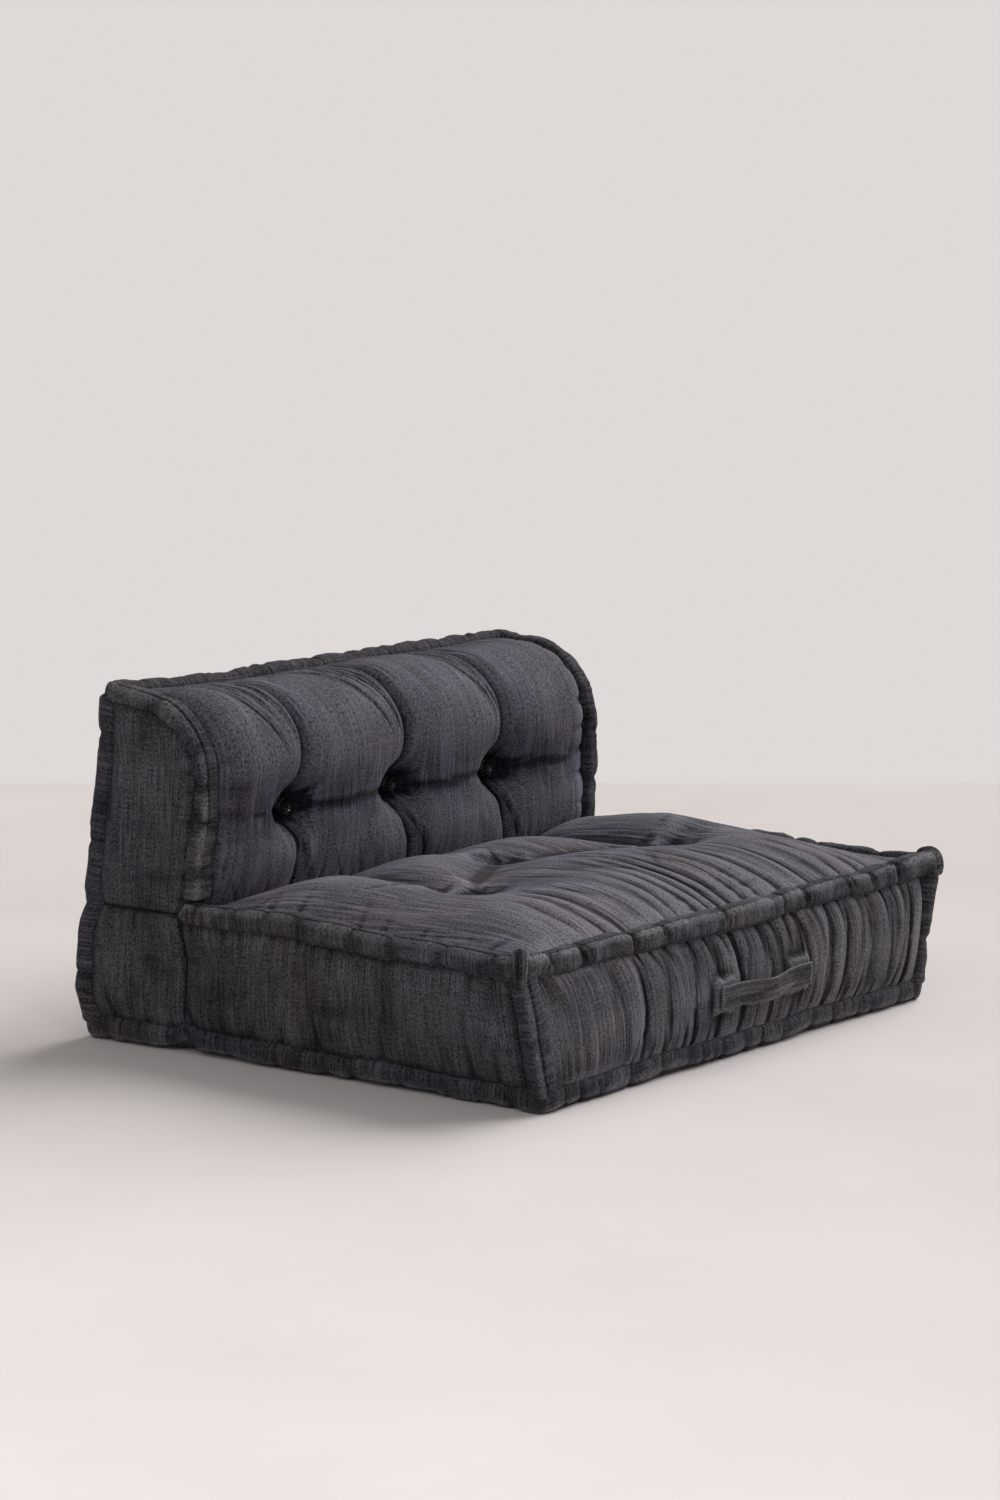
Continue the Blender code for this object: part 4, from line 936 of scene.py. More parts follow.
def make_tuft_ties():
    """Twine of each tuft, from its anchor below to a knot sunk in the cloth."""
    twine, knot = 0.0012, 0.0045
    angle = np.linspace(0.0, 2 * np.pi, 16, endpoint=False)
    for index, spot in enumerate(TUFTS, 1):
        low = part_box(f"seat_tuft_{index}")[0].z
        top = Z_SEAT + FACE_OFFSET + float(seat_rise(np.array(spot.x), np.array(spot.y), 0.95)) - 0.0005
        turn = np.linspace(0.0, math.pi, 10)[1:-1]
        up = np.concatenate([[low, top - 0.0085], top - 0.0040 - 0.0040 * np.cos(turn), [top]])
        girth = np.concatenate([[twine, twine], knot * np.sin(turn), [0.0004]])
        lay = 1.0 + 0.10 * np.cos(3.0 * angle[None] + up[:, None] / 0.0016)
        x = spot.x + girth[:, None] * lay * np.cos(angle)
        y = spot.y + girth[:, None] * lay * np.sin(angle)
        form = np.stack(np.broadcast_arrays(x, y, up[:, None]), axis=-1)
        uv = np.stack(np.broadcast_arrays(angle[None] * 0.003, up[:, None]), axis=-1)
        piece = tube_piece(f"tuft_tie_{index}", form, uv, np.zeros(x.shape), False, thread())
        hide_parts(f"seat_tuft_{index}")


# ---------------------------------------------------------------- flat cloths


def on_quad(corners, u, v):
    """Points on a four-cornered patch: low left, low right, high right, high left."""
    a, b, c, d = (np.array(place, float) for place in corners)
    u = u[..., None]
    v = v[..., None]
    return (a * (1 - u) + b * u) * (1 - v) + (d * (1 - u) + c * u) * v


def drawn_in(corners, insets):
    """Moves the borders of a patch inwards by the given lengths: low, right, high, left."""
    low, right, high, left = insets
    a, b, c, d = (np.array(place, float) for place in corners)

    def shares(p, q, first, last):
        span = np.linalg.norm(q - p)
        return first / span, 1.0 - last / span

    u0, u1 = shares(a, b, left, right)
    v0, v1 = shares(a, d, low, high)
    spots = [(u0, v0), (u1, v0), (u1, v1), (u0, v1)]
    return [on_quad((a, b, c, d), np.array(u), np.array(v)) for u, v in spots]


def cloth_patch(corners):
    """Grid of a patch with its outward normal and the lengths from its four borders."""
    a, b, c, d = corners
    width = (np.linalg.norm(b - a) + np.linalg.norm(c - d)) / 2
    height = (np.linalg.norm(d - a) + np.linalg.norm(c - b)) / 2
    columns = max(8, round(width / CLOTH_STEP)) + 1
    rows = max(8, round(height / CLOTH_STEP)) + 1
    v, u = np.meshgrid(np.linspace(0, 1, rows), np.linspace(0, 1, columns), indexing="ij")
    normal = np.cross(b - a, d - a)
    normal /= np.linalg.norm(normal)
    return on_quad(corners, u, v), u * width, v * height, width, height, normal


def edge_gathers(along, across, span, limit, pitch, depth, seed):
    """Gathers that run in from one border of a cloth and fade out."""
    rng = np.random.default_rng(seed)
    total = np.zeros_like(along)
    for place in random_lines(0.0, span, pitch, 0.45, rng):
        line = place + rng.uniform(-0.25, 0.25) * across + 0.002 * uneven(across / 0.03, place * 37.0, seed + 1)
        far = limit * rng.uniform(0.4, 1.2)
        deep, wide = depth * rng.uniform(0.3, 1.1), rng.uniform(0.0035, 0.0065)
        total += deep * bell(along - line, wide) * ramp(across, far, 0.0)
    return total


def make_front_cloth():
    size = sizes()
    corners = drawn_in(
        [
            (-X_BASE, Y_FRONT_BASE, Z_BASE),
            (X_BASE, Y_FRONT_BASE, Z_BASE),
            (X_EAR, Y_FRONT_SEAT, Z_SEAT),
            (-X_EAR, Y_FRONT_SEAT, Z_SEAT),
        ],
        (UNDER, UNDER, UNDER, UNDER),
    )
    flat, u, v, width, height, normal = cloth_patch(corners)
    rng = np.random.default_rng(61)
    ribs = [0.0, 0.155]
    while ribs[-1] < width - 0.075:
        ribs.append(ribs[-1] + rng.uniform(0.030, 0.074))
    ribs = np.array(ribs + [width])
    sway = 0.007 * uneven(u / 0.07, v / 0.08, 62) + 0.020 * (v / height - 0.5) * uneven(u / 0.11, 0.0, 64)
    place = np.clip(u + sway, 0.0, width - 1e-6)
    cell = np.clip(np.searchsorted(ribs, place, side="right") - 1, 0, len(ribs) - 2)
    t = (place - ribs[cell]) / (ribs[cell + 1] - ribs[cell])
    heights = rng.uniform(0.85, 1.15, len(ribs))[cell]
    hump = np.maximum(np.sin(np.pi * t), 0.0)
    rib = 0.4 * hump + 0.6 * np.sqrt(hump)
    depths = np.concatenate([[0.2, 0.35], rng.uniform(0.35, 1.0, len(ribs))])
    rib = heights - (1.0 - rib) * (depths[cell] * (1.0 - t) + depths[cell + 1] * t)
    edge = rounded(u, 0.110) * rounded(width - u, 0.060) * rounded(v, 0.080) * rounded(height - v, 0.090)

    def laid(fullness, widen):
        low = FACE_OFFSET - 0.010 * ramp(v, height - 0.05, height)
        lift = low + edge * (size.front_swell * fullness + FACE_OFFSET - low - size.front_pleat * (1.0 - rib))
        grid = flat + normal * lift[..., None]
        return grid * np.array([widen, 1.0, 1.0])

    start = laid(0.95, 1.0)
    cut = laid(1.10, 1.02)
    form = stuff(start, cut, border_hold(*u.shape), 2.0, 16, 0.004)
    form, u, v = (refine(part) for part in (form, u, v))
    full = ramp(u, 0.10, 0.22)
    folds = edge_gathers(u, height - v, width, 0.11, 0.036, 0.0036, 63) * full
    folds += edge_gathers(u, v, width, 0.09, 0.040, 0.0034, 65) * full
    form = form - grid_normals(form) * folds[..., None]
    form[..., 1] = press_under_strap(form)
    inner = form * np.array([1.0, 0.0, 1.0]) + np.array([0.0, Y_FRONT_SEAT + R, 0.0])
    # Painted highlight on ridges and painted shade in folds, then painted shadow along the top under the seat's
    # roll and, weaker, along the bottom.
    wear_and_shading = grid_wear_and_shading(form, 4, 0.0014) + 0.35 * grid_wear_and_shading(form, 14, 0.005)
    painted_shadow = 0.8 * ramp(v, height - 0.075, height - 0.008) + 0.5 * ramp(v, 0.060, 0.008)
    wear_and_shading = np.clip(wear_and_shading - painted_shadow, -1.0, 1.0)
    piece = pad_piece("front_cloth", form, inner, np.stack([u, v], axis=-1), wear_and_shading, cotton("front_cotton"))
    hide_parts("seat_front_pad")


def press_under_strap(form):
    """Depths of the front cloth, drawn level under the sewn ends of the strap and kept behind it."""
    x, y, z = form[..., 0], form[..., 1], form[..., 2]
    plane = STRAP_PLANE + 0.0006
    rise = np.abs(z - (STRAP_LOW.z + STRAP_HIGH.z) / 2)
    up = ramp(rise, 0.062, 0.012)
    for low, high in STRAP_ENDS:
        middle, half = (low + high) / 2, (high - low) / 2
        beside = np.abs(x - middle) - half
        y = y + 0.0012 * ramp(beside, 0.060, 0.0) * ramp(rise, 0.070, 0.014)
        flat = ramp(beside, 0.012, -0.002) * ramp(rise, 0.030, 0.014)
        y = y * (1.0 - flat) + plane * flat
    behind = strap_line(np.clip(x, STRAP_LOW.x, STRAP_HIGH.x))[0] + 0.004
    near = ramp(np.maximum(STRAP_LOW.x - x, x - STRAP_HIGH.x), 0.004, 0.0) * ramp(up, 0.3, 0.9)
    return y + (np.maximum(y, behind) - y) * near


def panel_piece(name, node, corners, insets, swell, borders, seed, depth=PANEL_DEPTH):
    """A nearly flat cloth panel with shallow gathers along its borders."""
    corners = drawn_in(corners, insets)
    flat, u, v, width, height, normal = cloth_patch(corners)
    edge = np.ones_like(u)
    # Painted shade along the borders: wide under the rolls, narrow at the sewn seams.
    painted_border_shade = np.zeros_like(u)
    for away, (reach, share) in zip((v, width - u, height - v, u), borders):
        if reach:
            edge = edge * (share + (1.0 - share) * eased(away, reach))
            painted_border_shade = np.maximum(painted_border_shade, bell(away, 0.009 if share == 0.0 else 0.003))
    rough = 0.0016 * uneven(u / 0.06, v / 0.09, seed) + 0.0008 * uneven(u / 0.02, v / 0.06, seed + 1)
    lift = END_OFFSET + (swell + rough) * edge
    folds = edge_gathers(u, height - v, width, 0.05, 0.034, 0.0016, seed + 2)
    folds += edge_gathers(u, v, width, 0.10, 0.052, 0.0022, seed + 4)
    folds += 0.6 * edge_gathers(v, u, height, 0.04, 0.040, 0.0014, seed + 6)
    folds += 0.6 * edge_gathers(v, width - u, height, 0.04, 0.040, 0.0014, seed + 8)
    form = flat + normal * (lift - folds)[..., None]
    inner = flat - normal * depth
    # Painted highlight on raised spots, painted shade in the folds and along the borders.
    wear_and_shading = np.clip((rough * 0.5 - folds) / 0.0022 - 0.9 * painted_border_shade, -1.0, 1.0)
    piece = pad_piece(name, form, inner, np.stack([u, v], axis=-1), wear_and_shading, cotton("dark_cotton"))
    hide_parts(node)
    return piece


def mirrored(corners, side):
    """Corners of an end cloth for one side, in the order that faces outwards."""
    places = [(side * x, y, z) for x, y, z in corners]
    return places if side > 0 else [places[1], places[0], places[3], places[2]]


def turned(values, side):
    """Border values of an end cloth for one side: low, right, high, left."""
    low, right, high, left = values
    return values if side > 0 else (low, left, high, right)


def make_end_cloths():
    swell = sizes().end_swell
    for side, tag in SIDES:
        seat = [
            (X_BASE, Y_FRONT_BASE, Z_BASE),
            (X_BASE, Y_SEAM, Z_BASE),
            (X_BACK, Y_SEAM, Z_SEAT),
            (X_EAR, Y_FRONT_SEAT, Z_SEAT),
        ]
        panel_piece(
            "seat_end_cloth_" + tag, "seat_side_" + tag, mirrored(seat, side),
            turned((UNDER, SEAM_GAP, UNDER, UNDER), side), swell,
            turned((ROLLED, SEWN_SEAM, ROLLED, ROLLED), side), 91 + 10 * side,
        )
        rear = [
            (X_BASE, Y_SEAM, Z_BASE),
            (X_BASE, Y_REAR, Z_BASE),
            (X_BASE, Y_REAR, Z_SEAT),
            (X_BACK, Y_SEAM, Z_SEAT),
        ]
        panel_piece(
            "rear_end_cloth_" + tag, "lower_rear_side_" + tag, mirrored(rear, side),
            turned((UNDER, UNDER, SEAM_GAP, SEAM_GAP), side), swell,
            turned((ROLLED, ROLLED, SEWN_SEAM, SEWN_SEAM), side), 131 + 10 * side,
        )
        make_back_end_cloth(side, tag)


def make_back_end_cloth(side, tag):
    """End cloth of the back, cut to its rounded outline."""
    size = sizes()
    rows, columns = 76, 44
    lengths = np.linspace(0.0, PROFILE_LENGTH - 0.6 * TOP_LENGTH, rows)
    y, z, ny, nz = back_profile(lengths)
    cover = 0.1 * R
    front_y = y - ny * cover
    front_z = z - nz * cover
    front_z[0] = Z_SEAT + SEAM_GAP
    t = np.linspace(0.0, 1.0, rows)
    rear_z = Z_SEAT + SEAM_GAP + (Z_TOP - UNDER - Z_SEAT) * t
    lean = (rear_z - Z_SEAT) / (Z_TOP - Z_SEAT)
    rear_y = Y_REAR + (Y_REAR_TOP - Y_REAR) * lean - UNDER
    u = np.linspace(0.0, 1.0, columns)
    y = front_y[:, None] * (1 - u) + rear_y[:, None] * u
    z = front_z[:, None] * (1 - u) + rear_z[:, None] * u
    edge_y, edge_z = back_profile(np.linspace(-0.02, PROFILE_LENGTH, 240))[:2]
    gap = np.hypot(y[..., None] - edge_y, z[..., None] - edge_z).min(axis=2) - cover
    rear_gap = Y_REAR + (Y_REAR_TOP - Y_REAR) * (z - Z_SEAT) / (Z_TOP - Z_SEAT) - y - UNDER
    near = np.minimum(gap, rear_gap)
    edge = (0.5 * eased(near, 0.020) + 0.5 * eased(near, 0.048)) * (0.45 + 0.55 * eased(z - Z_SEAT, 0.007))
    bulk = np.clip((y - Y_BACK) / (Y_REAR - Y_BACK), 0.0, 1.0)
    x = X_BACK + (X_BASE - X_BACK) * bulk * np.clip((Z_TOP - z) / (Z_TOP - Z_SEAT), 0.0, 1.0)
    seed = 171 + 10 * side
    x = x + END_OFFSET + 0.0030 * ramp(gap, 0.060, 0.0) + size.end_swell * edge
    x = x + (0.0018 * uneven(y / 0.06, z / 0.08, seed) + 0.0007 * uneven(y / 0.018, z / 0.05, seed + 1)) * edge
    folds = edge_gathers(z, gap, 0.52, 0.04, 0.03, 0.0016, seed + 2)
    x = x - folds
    form = np.stack([side * x, y, z], axis=-1)
    inner = np.stack([np.full_like(x, side * (X_BACK - R)), y, z], axis=-1)
    uv = np.stack([y, z], axis=-1)
    # Painted shade in the folds, along the rolled edge and along the seat seam; only the darkening is kept.
    wear_and_shading = -folds / 0.0022 - 0.9 * np.maximum(bell(near, 0.009), bell(z - Z_SEAT, 0.003))
    parts = (form, inner, uv, wear_and_shading)
    form, inner, uv, wear_and_shading = (refine(part[:, ::side]) for part in parts)
    wear_and_shading = np.clip(wear_and_shading, -1.0, 0.0)
    piece = pad_piece("back_end_cloth_" + tag, form, inner, uv, wear_and_shading, cotton("dark_cotton"))
    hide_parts("back_side_" + tag)


def make_rear_cloths():
    swell = sizes().end_swell
    lower = [
        (X_BASE, Y_REAR, Z_BASE),
        (-X_BASE, Y_REAR, Z_BASE),
        (-X_BASE, Y_REAR, Z_SEAT),
        (X_BASE, Y_REAR, Z_SEAT),
    ]
    panel_piece(
        "rear_cloth_low", "rear_lower_panel", lower, (UNDER, UNDER, SEAM_GAP, UNDER), swell,
        (ROLLED, ROLLED, SEWN_SEAM, ROLLED), 201,
    )
    upper = [
        (X_BASE, Y_REAR, Z_SEAT),
        (-X_BASE, Y_REAR, Z_SEAT),
        (-X_BACK, Y_REAR_TOP, Z_TOP),
        (X_BACK, Y_REAR_TOP, Z_TOP),
    ]
    panel_piece(
        "rear_cloth_high", "rear_upper_panel", upper, (SEAM_GAP, UNDER, UNDER, UNDER), swell,
        (SEWN_SEAM, ROLLED, ROLLED, ROLLED), 221,
    )
    low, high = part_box("base_panel")
    lap = 0.006
    base = [
        (low.x - lap, high.y + lap, 0.0),
        (high.x + lap, high.y + lap, 0.0),
        (high.x + lap, low.y - lap, 0.0),
        (low.x - lap, low.y - lap, 0.0),
    ]
    piece = panel_piece("base_cloth", "base_panel", base, (0.0,) * 4, 0.0, ((0.0, 1.0),) * 4, 241, depth=0.0)
    flat = np.empty(len(piece.data.vertices) * 3)
    piece.data.vertices.foreach_get("co", flat)
    flat = flat.reshape(-1, 3)
    flat[:, 2] = np.where(flat[:, 2] < -1e-6, np.maximum(flat[:, 2] + END_OFFSET + 0.0015, 0.0004), high.z)
    piece.data.vertices.foreach_set("co", flat.ravel())


# ---------------------------------------------------------------- rolled edges


def smoothed(values, window, closed):
    half = max(1, window // 2)
    mode = "wrap" if closed else "edge"
    wide = np.pad(values, [(half, half), (0, 0)], mode=mode)
    wide = np.concatenate([np.zeros_like(wide[:1]), np.cumsum(wide, axis=0)])
    span = 2 * half + 1
    return (wide[span:] - wide[:-span]) / span


ROLL_STEP = 0.0022
ROLL_TURN = 0.008
ROLL_TAPER = 0.010


def edge_path(corners, ridges, groups, closed):
    """Even points along a run of edges, the direction of the roll's ridge and the number of each edge."""
    corners = [np.array(place, float) for place in corners]
    if closed:
        corners = corners + corners[:1]
    points, crests, edges = [], [], []
    for start, end, ridge, group in zip(corners, corners[1:], ridges, groups):
        count = max(1, round(np.linalg.norm(end - start) / ROLL_STEP))
        t = np.linspace(0.0, 1.0, count, endpoint=False)[:, None]
        points.append(start + (end - start) * t)
        crests.append(np.repeat(np.array(ridge, float)[None], count, axis=0))
        edges.append(np.full(count, group))
    if not closed:
        points.append(corners[-1][None])
        crests.append(np.array(ridges[-1], float)[None])
        edges.append(np.array([groups[-1]]))
    points = np.concatenate(points)
    crests = np.concatenate(crests)
    window = round(ROLL_TURN / ROLL_STEP)
    ends = points[[0, -1]].copy()
    for _ in range(2):
        points = smoothed(points, window, closed)
        crests = smoothed(crests, 2 * window, closed)
    if not closed:
        points[[0, -1]] = ends
    return points, crests, np.concatenate(edges)


def path_frame(points, crests, closed):
    if closed:
        ahead = np.roll(points, -1, axis=0) - np.roll(points, 1, axis=0)
    else:
        ahead = np.gradient(points, axis=0)
    ahead /= np.linalg.norm(ahead, axis=1, keepdims=True)
    crest = crests - ahead * np.sum(crests * ahead, axis=1, keepdims=True)
    crest /= np.linalg.norm(crest, axis=1, keepdims=True)
    return ahead, crest, np.cross(ahead, crest)


def roll_folds(run, turn, low, high, style, rng):
    """Height of the gathers on one edge's roll: pinches, overlapping steps and slanting folds."""
    pitch, fold, step, wave, _, pinch = style
    s = run[:, 0]
    outward = np.maximum(np.cos(turn), 0.0) ** 0.5
    inside = (ramp(s, low - 0.004, low + 0.004) * ramp(s, high + 0.004, high - 0.004))[:, None]
    spots = np.concatenate([[low - pitch], random_lines(low, high, pitch, 0.5, rng), [high + pitch]])
    field = np.zeros_like(run)
    if step:
        slant = 0.40 * R * np.sin(turn + rng.uniform(-1, 1)) + 0.004 * uneven(run / 0.03, turn, 7)
        place = run - slant
        cell = np.clip(np.searchsorted(spots, place, side="right") - 1, 0, len(spots) - 2)
        width = spots[cell + 1] - spots[cell]
        t = np.clip((place - spots[cell]) / width, 0.0, 1.0)
        drop = rng.uniform(0.35, 1.0, len(spots))[cell]
        rise = 1.0 - np.exp(-t * width / 0.010)
        round_off = ramp((1.0 - t) * width, 0.0, 0.0040)
        field += step * drop * (rise * (0.35 + 0.65 * round_off) - 0.8)
    tucks = np.zeros_like(run)
    for spot in spots[1:-1]:
        lean = rng.uniform(-0.6, 0.6) * R
        deep, wide = pinch * rng.uniform(0.4, 1.2), rng.uniform(0.006, 0.011)
        tucks -= deep * np.exp(-np.abs(run - spot - lean * np.sin(turn)) / wide)
        folds = [(0.0, 1.0)]
        for _ in range(rng.integers(1, 4)):
            folds.append((rng.uniform(0.004, 0.014) * rng.choice([-1, 1]), rng.uniform(0.3, 0.7)))
        slant = rng.uniform(-0.9, 0.9) * R
        amount = fold * rng.uniform(0.35, 1.2)
        middle = rng.uniform(-0.8, 0.8)
        for shift, share in folds:
            away = run - spot - shift - slant * np.sin(turn - middle * 0.3)
            wide = rng.uniform(0.0020, 0.0040)
            field -= amount * share * np.exp(-np.abs(away / wide) ** 1.5) * bell(turn - middle, 1.5)
    field += wave * uneven(run / 0.022, turn * 0.7, int(rng.integers(1000, 9000)))
    field += 0.5 * wave * uneven(run / 0.009, turn * 1.6, int(rng.integers(1000, 9000)))
    return (field * (0.25 + 0.75 * outward) + (tucks + 0.35 * pinch) * (0.55 + 0.45 * outward)) * inside


def gathered_roll(name, corners, ridges, groups, styles, closed, seed, nodes, seam=0.22):
    """A roll of stuffed cloth along an edge, flat beside the panels, gathered and sewn along its ridge."""
    rng = np.random.default_rng(seed)
    points, crests, edges = edge_path(corners, ridges, groups, closed)
    gaps = np.linalg.norm(np.diff(points, axis=0), axis=1)
    s = np.concatenate([[0.0], np.cumsum(gaps)])
    total = s[-1] + (np.linalg.norm(points[0] - points[-1]) if closed else 0.0)
    ahead, crest, beside = path_frame(points, crests, closed)
    calm = np.ones_like(s) if closed else ramp(np.minimum(s, total - s), 0.0, 0.05)
    wobble = 0.0024 * uneven(s / 0.055, 0.0, seed + 1) * calm
    swing = 0.0020 * uneven(s / 0.060, 0.0, seed + 2) * calm
    points = points + crest * wobble[:, None] + beside * swing[:, None]
    t = np.linspace(-1.0, 1.0, 48, endpoint=False)
    run, turn = np.meshgrid(s, math.pi * (0.58 * t + 0.42 * t ** 3), indexing="ij")
    field = np.zeros_like(run)
    square = smoothed(np.array([styles[group][4] for group in edges])[:, None], 12, closed)
    for group, style in enumerate(styles):
        within = s[edges == group]
        if len(within):
            field += roll_folds(run, turn, within.min(), within.max(), style, rng)
    outward = np.maximum(np.cos(turn), 0.0)
    power = 2.0 + square * outward
    lobe = np.abs(np.cos(turn + math.pi / 4)) ** power + np.abs(np.sin(turn + math.pi / 4)) ** power
    girth = R * (0.985 + 0.07 * uneven(s / 0.11, 8.0, seed + 4))[:, None]
    radius = girth * lobe ** (-1.0 / power) + field
    sewn = ramp(uneven(s / 0.07, 3.0, seed + 3), -0.9, 0.0)[:, None] * bell(turn - seam, 0.075)
    radius += 0.0006 * bell(turn - seam - 0.17, 0.11) - 0.0022 * sewn
    if not closed:
        radius = radius * np.maximum(rounded(np.minimum(s, total - s), ROLL_TAPER), 0.02)[:, None]
    out = crest[:, None] * np.cos(turn)[..., None] + beside[:, None] * np.sin(turn)[..., None]
    form = points[:, None] + out * radius[..., None]
    form[..., 2] = np.maximum(form[..., 2], 0.0006)
    # Lighter along the crest as rubbed wear and painted highlight, lighter on raised and darker in sunk gathers
    # as painted light and shade, darker along the sewn line.
    wear_and_shading = np.clip(0.55 * bell(turn, 0.32) - 0.05 + field / 0.0066 - sewn, -1.0, 1.0)
    uv = np.stack([run, turn * R], axis=-1)
    piece = tube_piece(name, form, uv, wear_and_shading, closed, cotton("rolled_cotton"))
    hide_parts(*nodes)
    return points, crest, beside, ahead, s


def tube_piece(name, form, uv, wear_and_shading, closed, material):
    """Closed tube from rings of points; an open one gets a small cap at each end."""
    rings, count = form.shape[:2]
    at = np.arange(rings * count).reshape(rings, count)
    if closed:
        faces = ring_quads(np.concatenate([at, at[:1]]))
    else:
        faces = ring_quads(at) + [at[0, ::-1].tolist(), at[-1].tolist()]
    return new_piece(name, form.reshape(-1, 3), faces, material, uv.reshape(-1, 2), wear_and_shading.ravel())


def stitch_mesh(starts, ends, lifts, thick, sides=6, rings=5):
    """Vertices and faces of short arched threads."""
    starts, ends, lifts = (np.asarray(values, float) for values in (starts, ends, lifts))
    count = len(starts)
    t = np.linspace(0.0, 1.0, rings)
    along = ends - starts
    axis = along / np.linalg.norm(along, axis=1, keepdims=True)
    up = lifts - axis * np.sum(lifts * axis, axis=1, keepdims=True)
    up /= np.linalg.norm(up, axis=1, keepdims=True)
    side = np.cross(axis, up)
    arch = np.sin(np.pi * t)
    middle = starts[:, None] + along[:, None] * t[None, :, None]
    middle = middle + up[:, None] * (arch * thick * 0.9)[None, :, None]
    girth = thick / 2 * np.sqrt(np.maximum(1.0 - (2 * t - 1) ** 4, 0.12))
    angle = np.linspace(0.0, 2 * np.pi, sides, endpoint=False)
    ring = up[:, None] * np.cos(angle)[None, :, None] + side[:, None] * np.sin(angle)[None, :, None]
    vertices = middle[:, :, None] + ring[:, None] * girth[None, :, None, None]
    at = np.arange(count * rings * sides).reshape(count, rings, sides)
    faces = ring_quads(at) + at[:, 0, ::-1].tolist() + at[:, -1].tolist()
    return vertices.reshape(-1, 3), faces


def seam_stitches(run, angles, rng):
    """Ends and lifts of hand stitches beside a roll."""
    size = sizes()
    points, crest, beside, ahead, s = run
    starts, ends, lifts = [], [], []
    for angle in angles:
        for spot in np.arange(0.03, s[-1] - 0.03, size.stitch_pitch):
            middle = spot + rng.uniform(-0.003, 0.003)
            half = size.stitch_length / 2 * rng.uniform(0.8, 1.15)
            places = []
            for where in (middle - half, middle + half):
                index = min(np.searchsorted(s, where), len(s) - 1)
                out = crest[index] * math.cos(angle) + beside[index] * math.sin(angle)
                places.append(points[index] + out * R)
            starts.append(places[0])
            ends.append(places[1])
            lifts.append(out)
    return starts, ends, lifts


ROLL_RUNS = {}

# Pitch of the gathers, depth of the folds, height of the overlapping steps and of the uneven crest,
# how square the roll lies against its panels, and depth of the pinches at its stitches.
FLAT = (0.072, 0.0016, 0.0024, 0.0014, 1.4, 0.0040)
FOLDED = (0.098, 0.0040, 0.0056, 0.0016, 1.5, 0.0018)
STEPPED = (0.050, 0.0014, 0.0056, 0.0008, 1.3, 0.0010)
GATHERED = (0.048, 0.0026, 0.0036, 0.0010, 0.8, 0.0022)
BAND = (0.055, 0.0030, 0.0012, 0.0010, 1.2, 0.0012)
CALM = (0.110, 0.0022, 0.0, 0.0010, 0.7, 0.0018)


def make_rolled_edges():
    base = [
        (-X_BASE, Y_FRONT_BASE, Z_BASE),
        (X_BASE, Y_FRONT_BASE, Z_BASE),
        (X_BASE, Y_REAR, Z_BASE),
        (-X_BASE, Y_REAR, Z_BASE),
    ]
    base_ridges = [(0, -1, -1), (1, 0, -1), (0, 1, -1), (-1, 0, -1)]
    ROLL_RUNS["base"] = gathered_roll(
        "base_roll", base, base_ridges, range(4), (STEPPED, BAND, GATHERED, BAND), True, 301,
        ("front_base_roll", "rear_base_roll", "base_side_roll_left", "base_side_roll_right"),
    )
    seat = [
        (-X_BACK, Y_SEAM + 0.004, Z_SEAT),
        (-X_EAR, Y_FRONT_SEAT, Z_SEAT),
        (X_EAR, Y_FRONT_SEAT, Z_SEAT),
        (X_BACK, Y_SEAM + 0.004, Z_SEAT),
    ]
    ROLL_RUNS["seat"] = gathered_roll(
        "seat_roll", seat, [(-1, 0, 1), (0, -1, 1), (1, 0, 1)], range(3), (FLAT, FOLDED, FLAT), False, 331,
        ("front_top_roll", "seat_side_roll_left", "seat_side_roll_right"), seam=-0.28,
    )
    lengths = np.linspace(R, PROFILE_LENGTH, 40)
    y, z, ny, nz = back_profile(lengths)
    left = [(-X_BACK, a, b) for a, b in zip(y, z)]
    right = [(X_BACK, a, b) for a, b in zip(y, z)][::-1]
    left_ridges = [(-1.0, a, b) for a, b in zip(ny[1:], nz[1:])]
    right_ridges = [(1.0, a, b) for a, b in zip(ny[1:], nz[1:])][::-1]
    ROLL_RUNS["back"] = gathered_roll(
        "back_roll", left + right, left_ridges + [(0, 1, 1)] + right_ridges, [0] * 39 + [1] + [2] * 39,
        (FLAT, GATHERED, FLAT), False, 361,
        ("rear_top_roll", "back_edge_roll_left", "back_edge_roll_right"),
    )
    for side, tag in SIDES:
        rear = [
            (side * X_BASE, Y_REAR, Z_BASE),
            (side * X_BASE, Y_REAR, Z_SEAT),
            (side * X_BACK, Y_REAR_TOP, Z_TOP),
        ]
        ROLL_RUNS["rear_" + tag] = gathered_roll(
            "rear_corner_roll_" + tag, rear, [(side, 1, 0)] * 2, range(2), (CALM, CALM), False, 391 + side,
            ("rear_lower_roll_" + tag, "rear_upper_roll_" + tag),
        )
        front = [(side * X_BASE, Y_FRONT_BASE, Z_BASE), (side * X_EAR, Y_FRONT_SEAT, Z_SEAT)]
        ROLL_RUNS["front_" + tag] = gathered_roll(
            "front_corner_roll_" + tag, front, [(side, -1, 0)], (0,), (CALM,), False, 421 + side,
            ("front_corner_roll_" + tag,),
        )


def smooth_line(points, count):
    """Even points on a smooth curve through a few places."""
    points = np.array(points, float)
    wide = np.concatenate([2 * points[:1] - points[1:2], points, 2 * points[-1:] - points[-2:-1]])
    t = np.linspace(0.0, len(points) - 1 - 1e-6, count)
    cell = t.astype(int)
    u = (t - cell)[:, None]
    a, b, c, d = (wide[cell + k] for k in range(4))
    return 0.5 * (2 * b + (c - a) * u + (2 * a - 5 * b + 4 * c - d) * u ** 2 + (3 * b - a - 3 * c + d) * u ** 3)


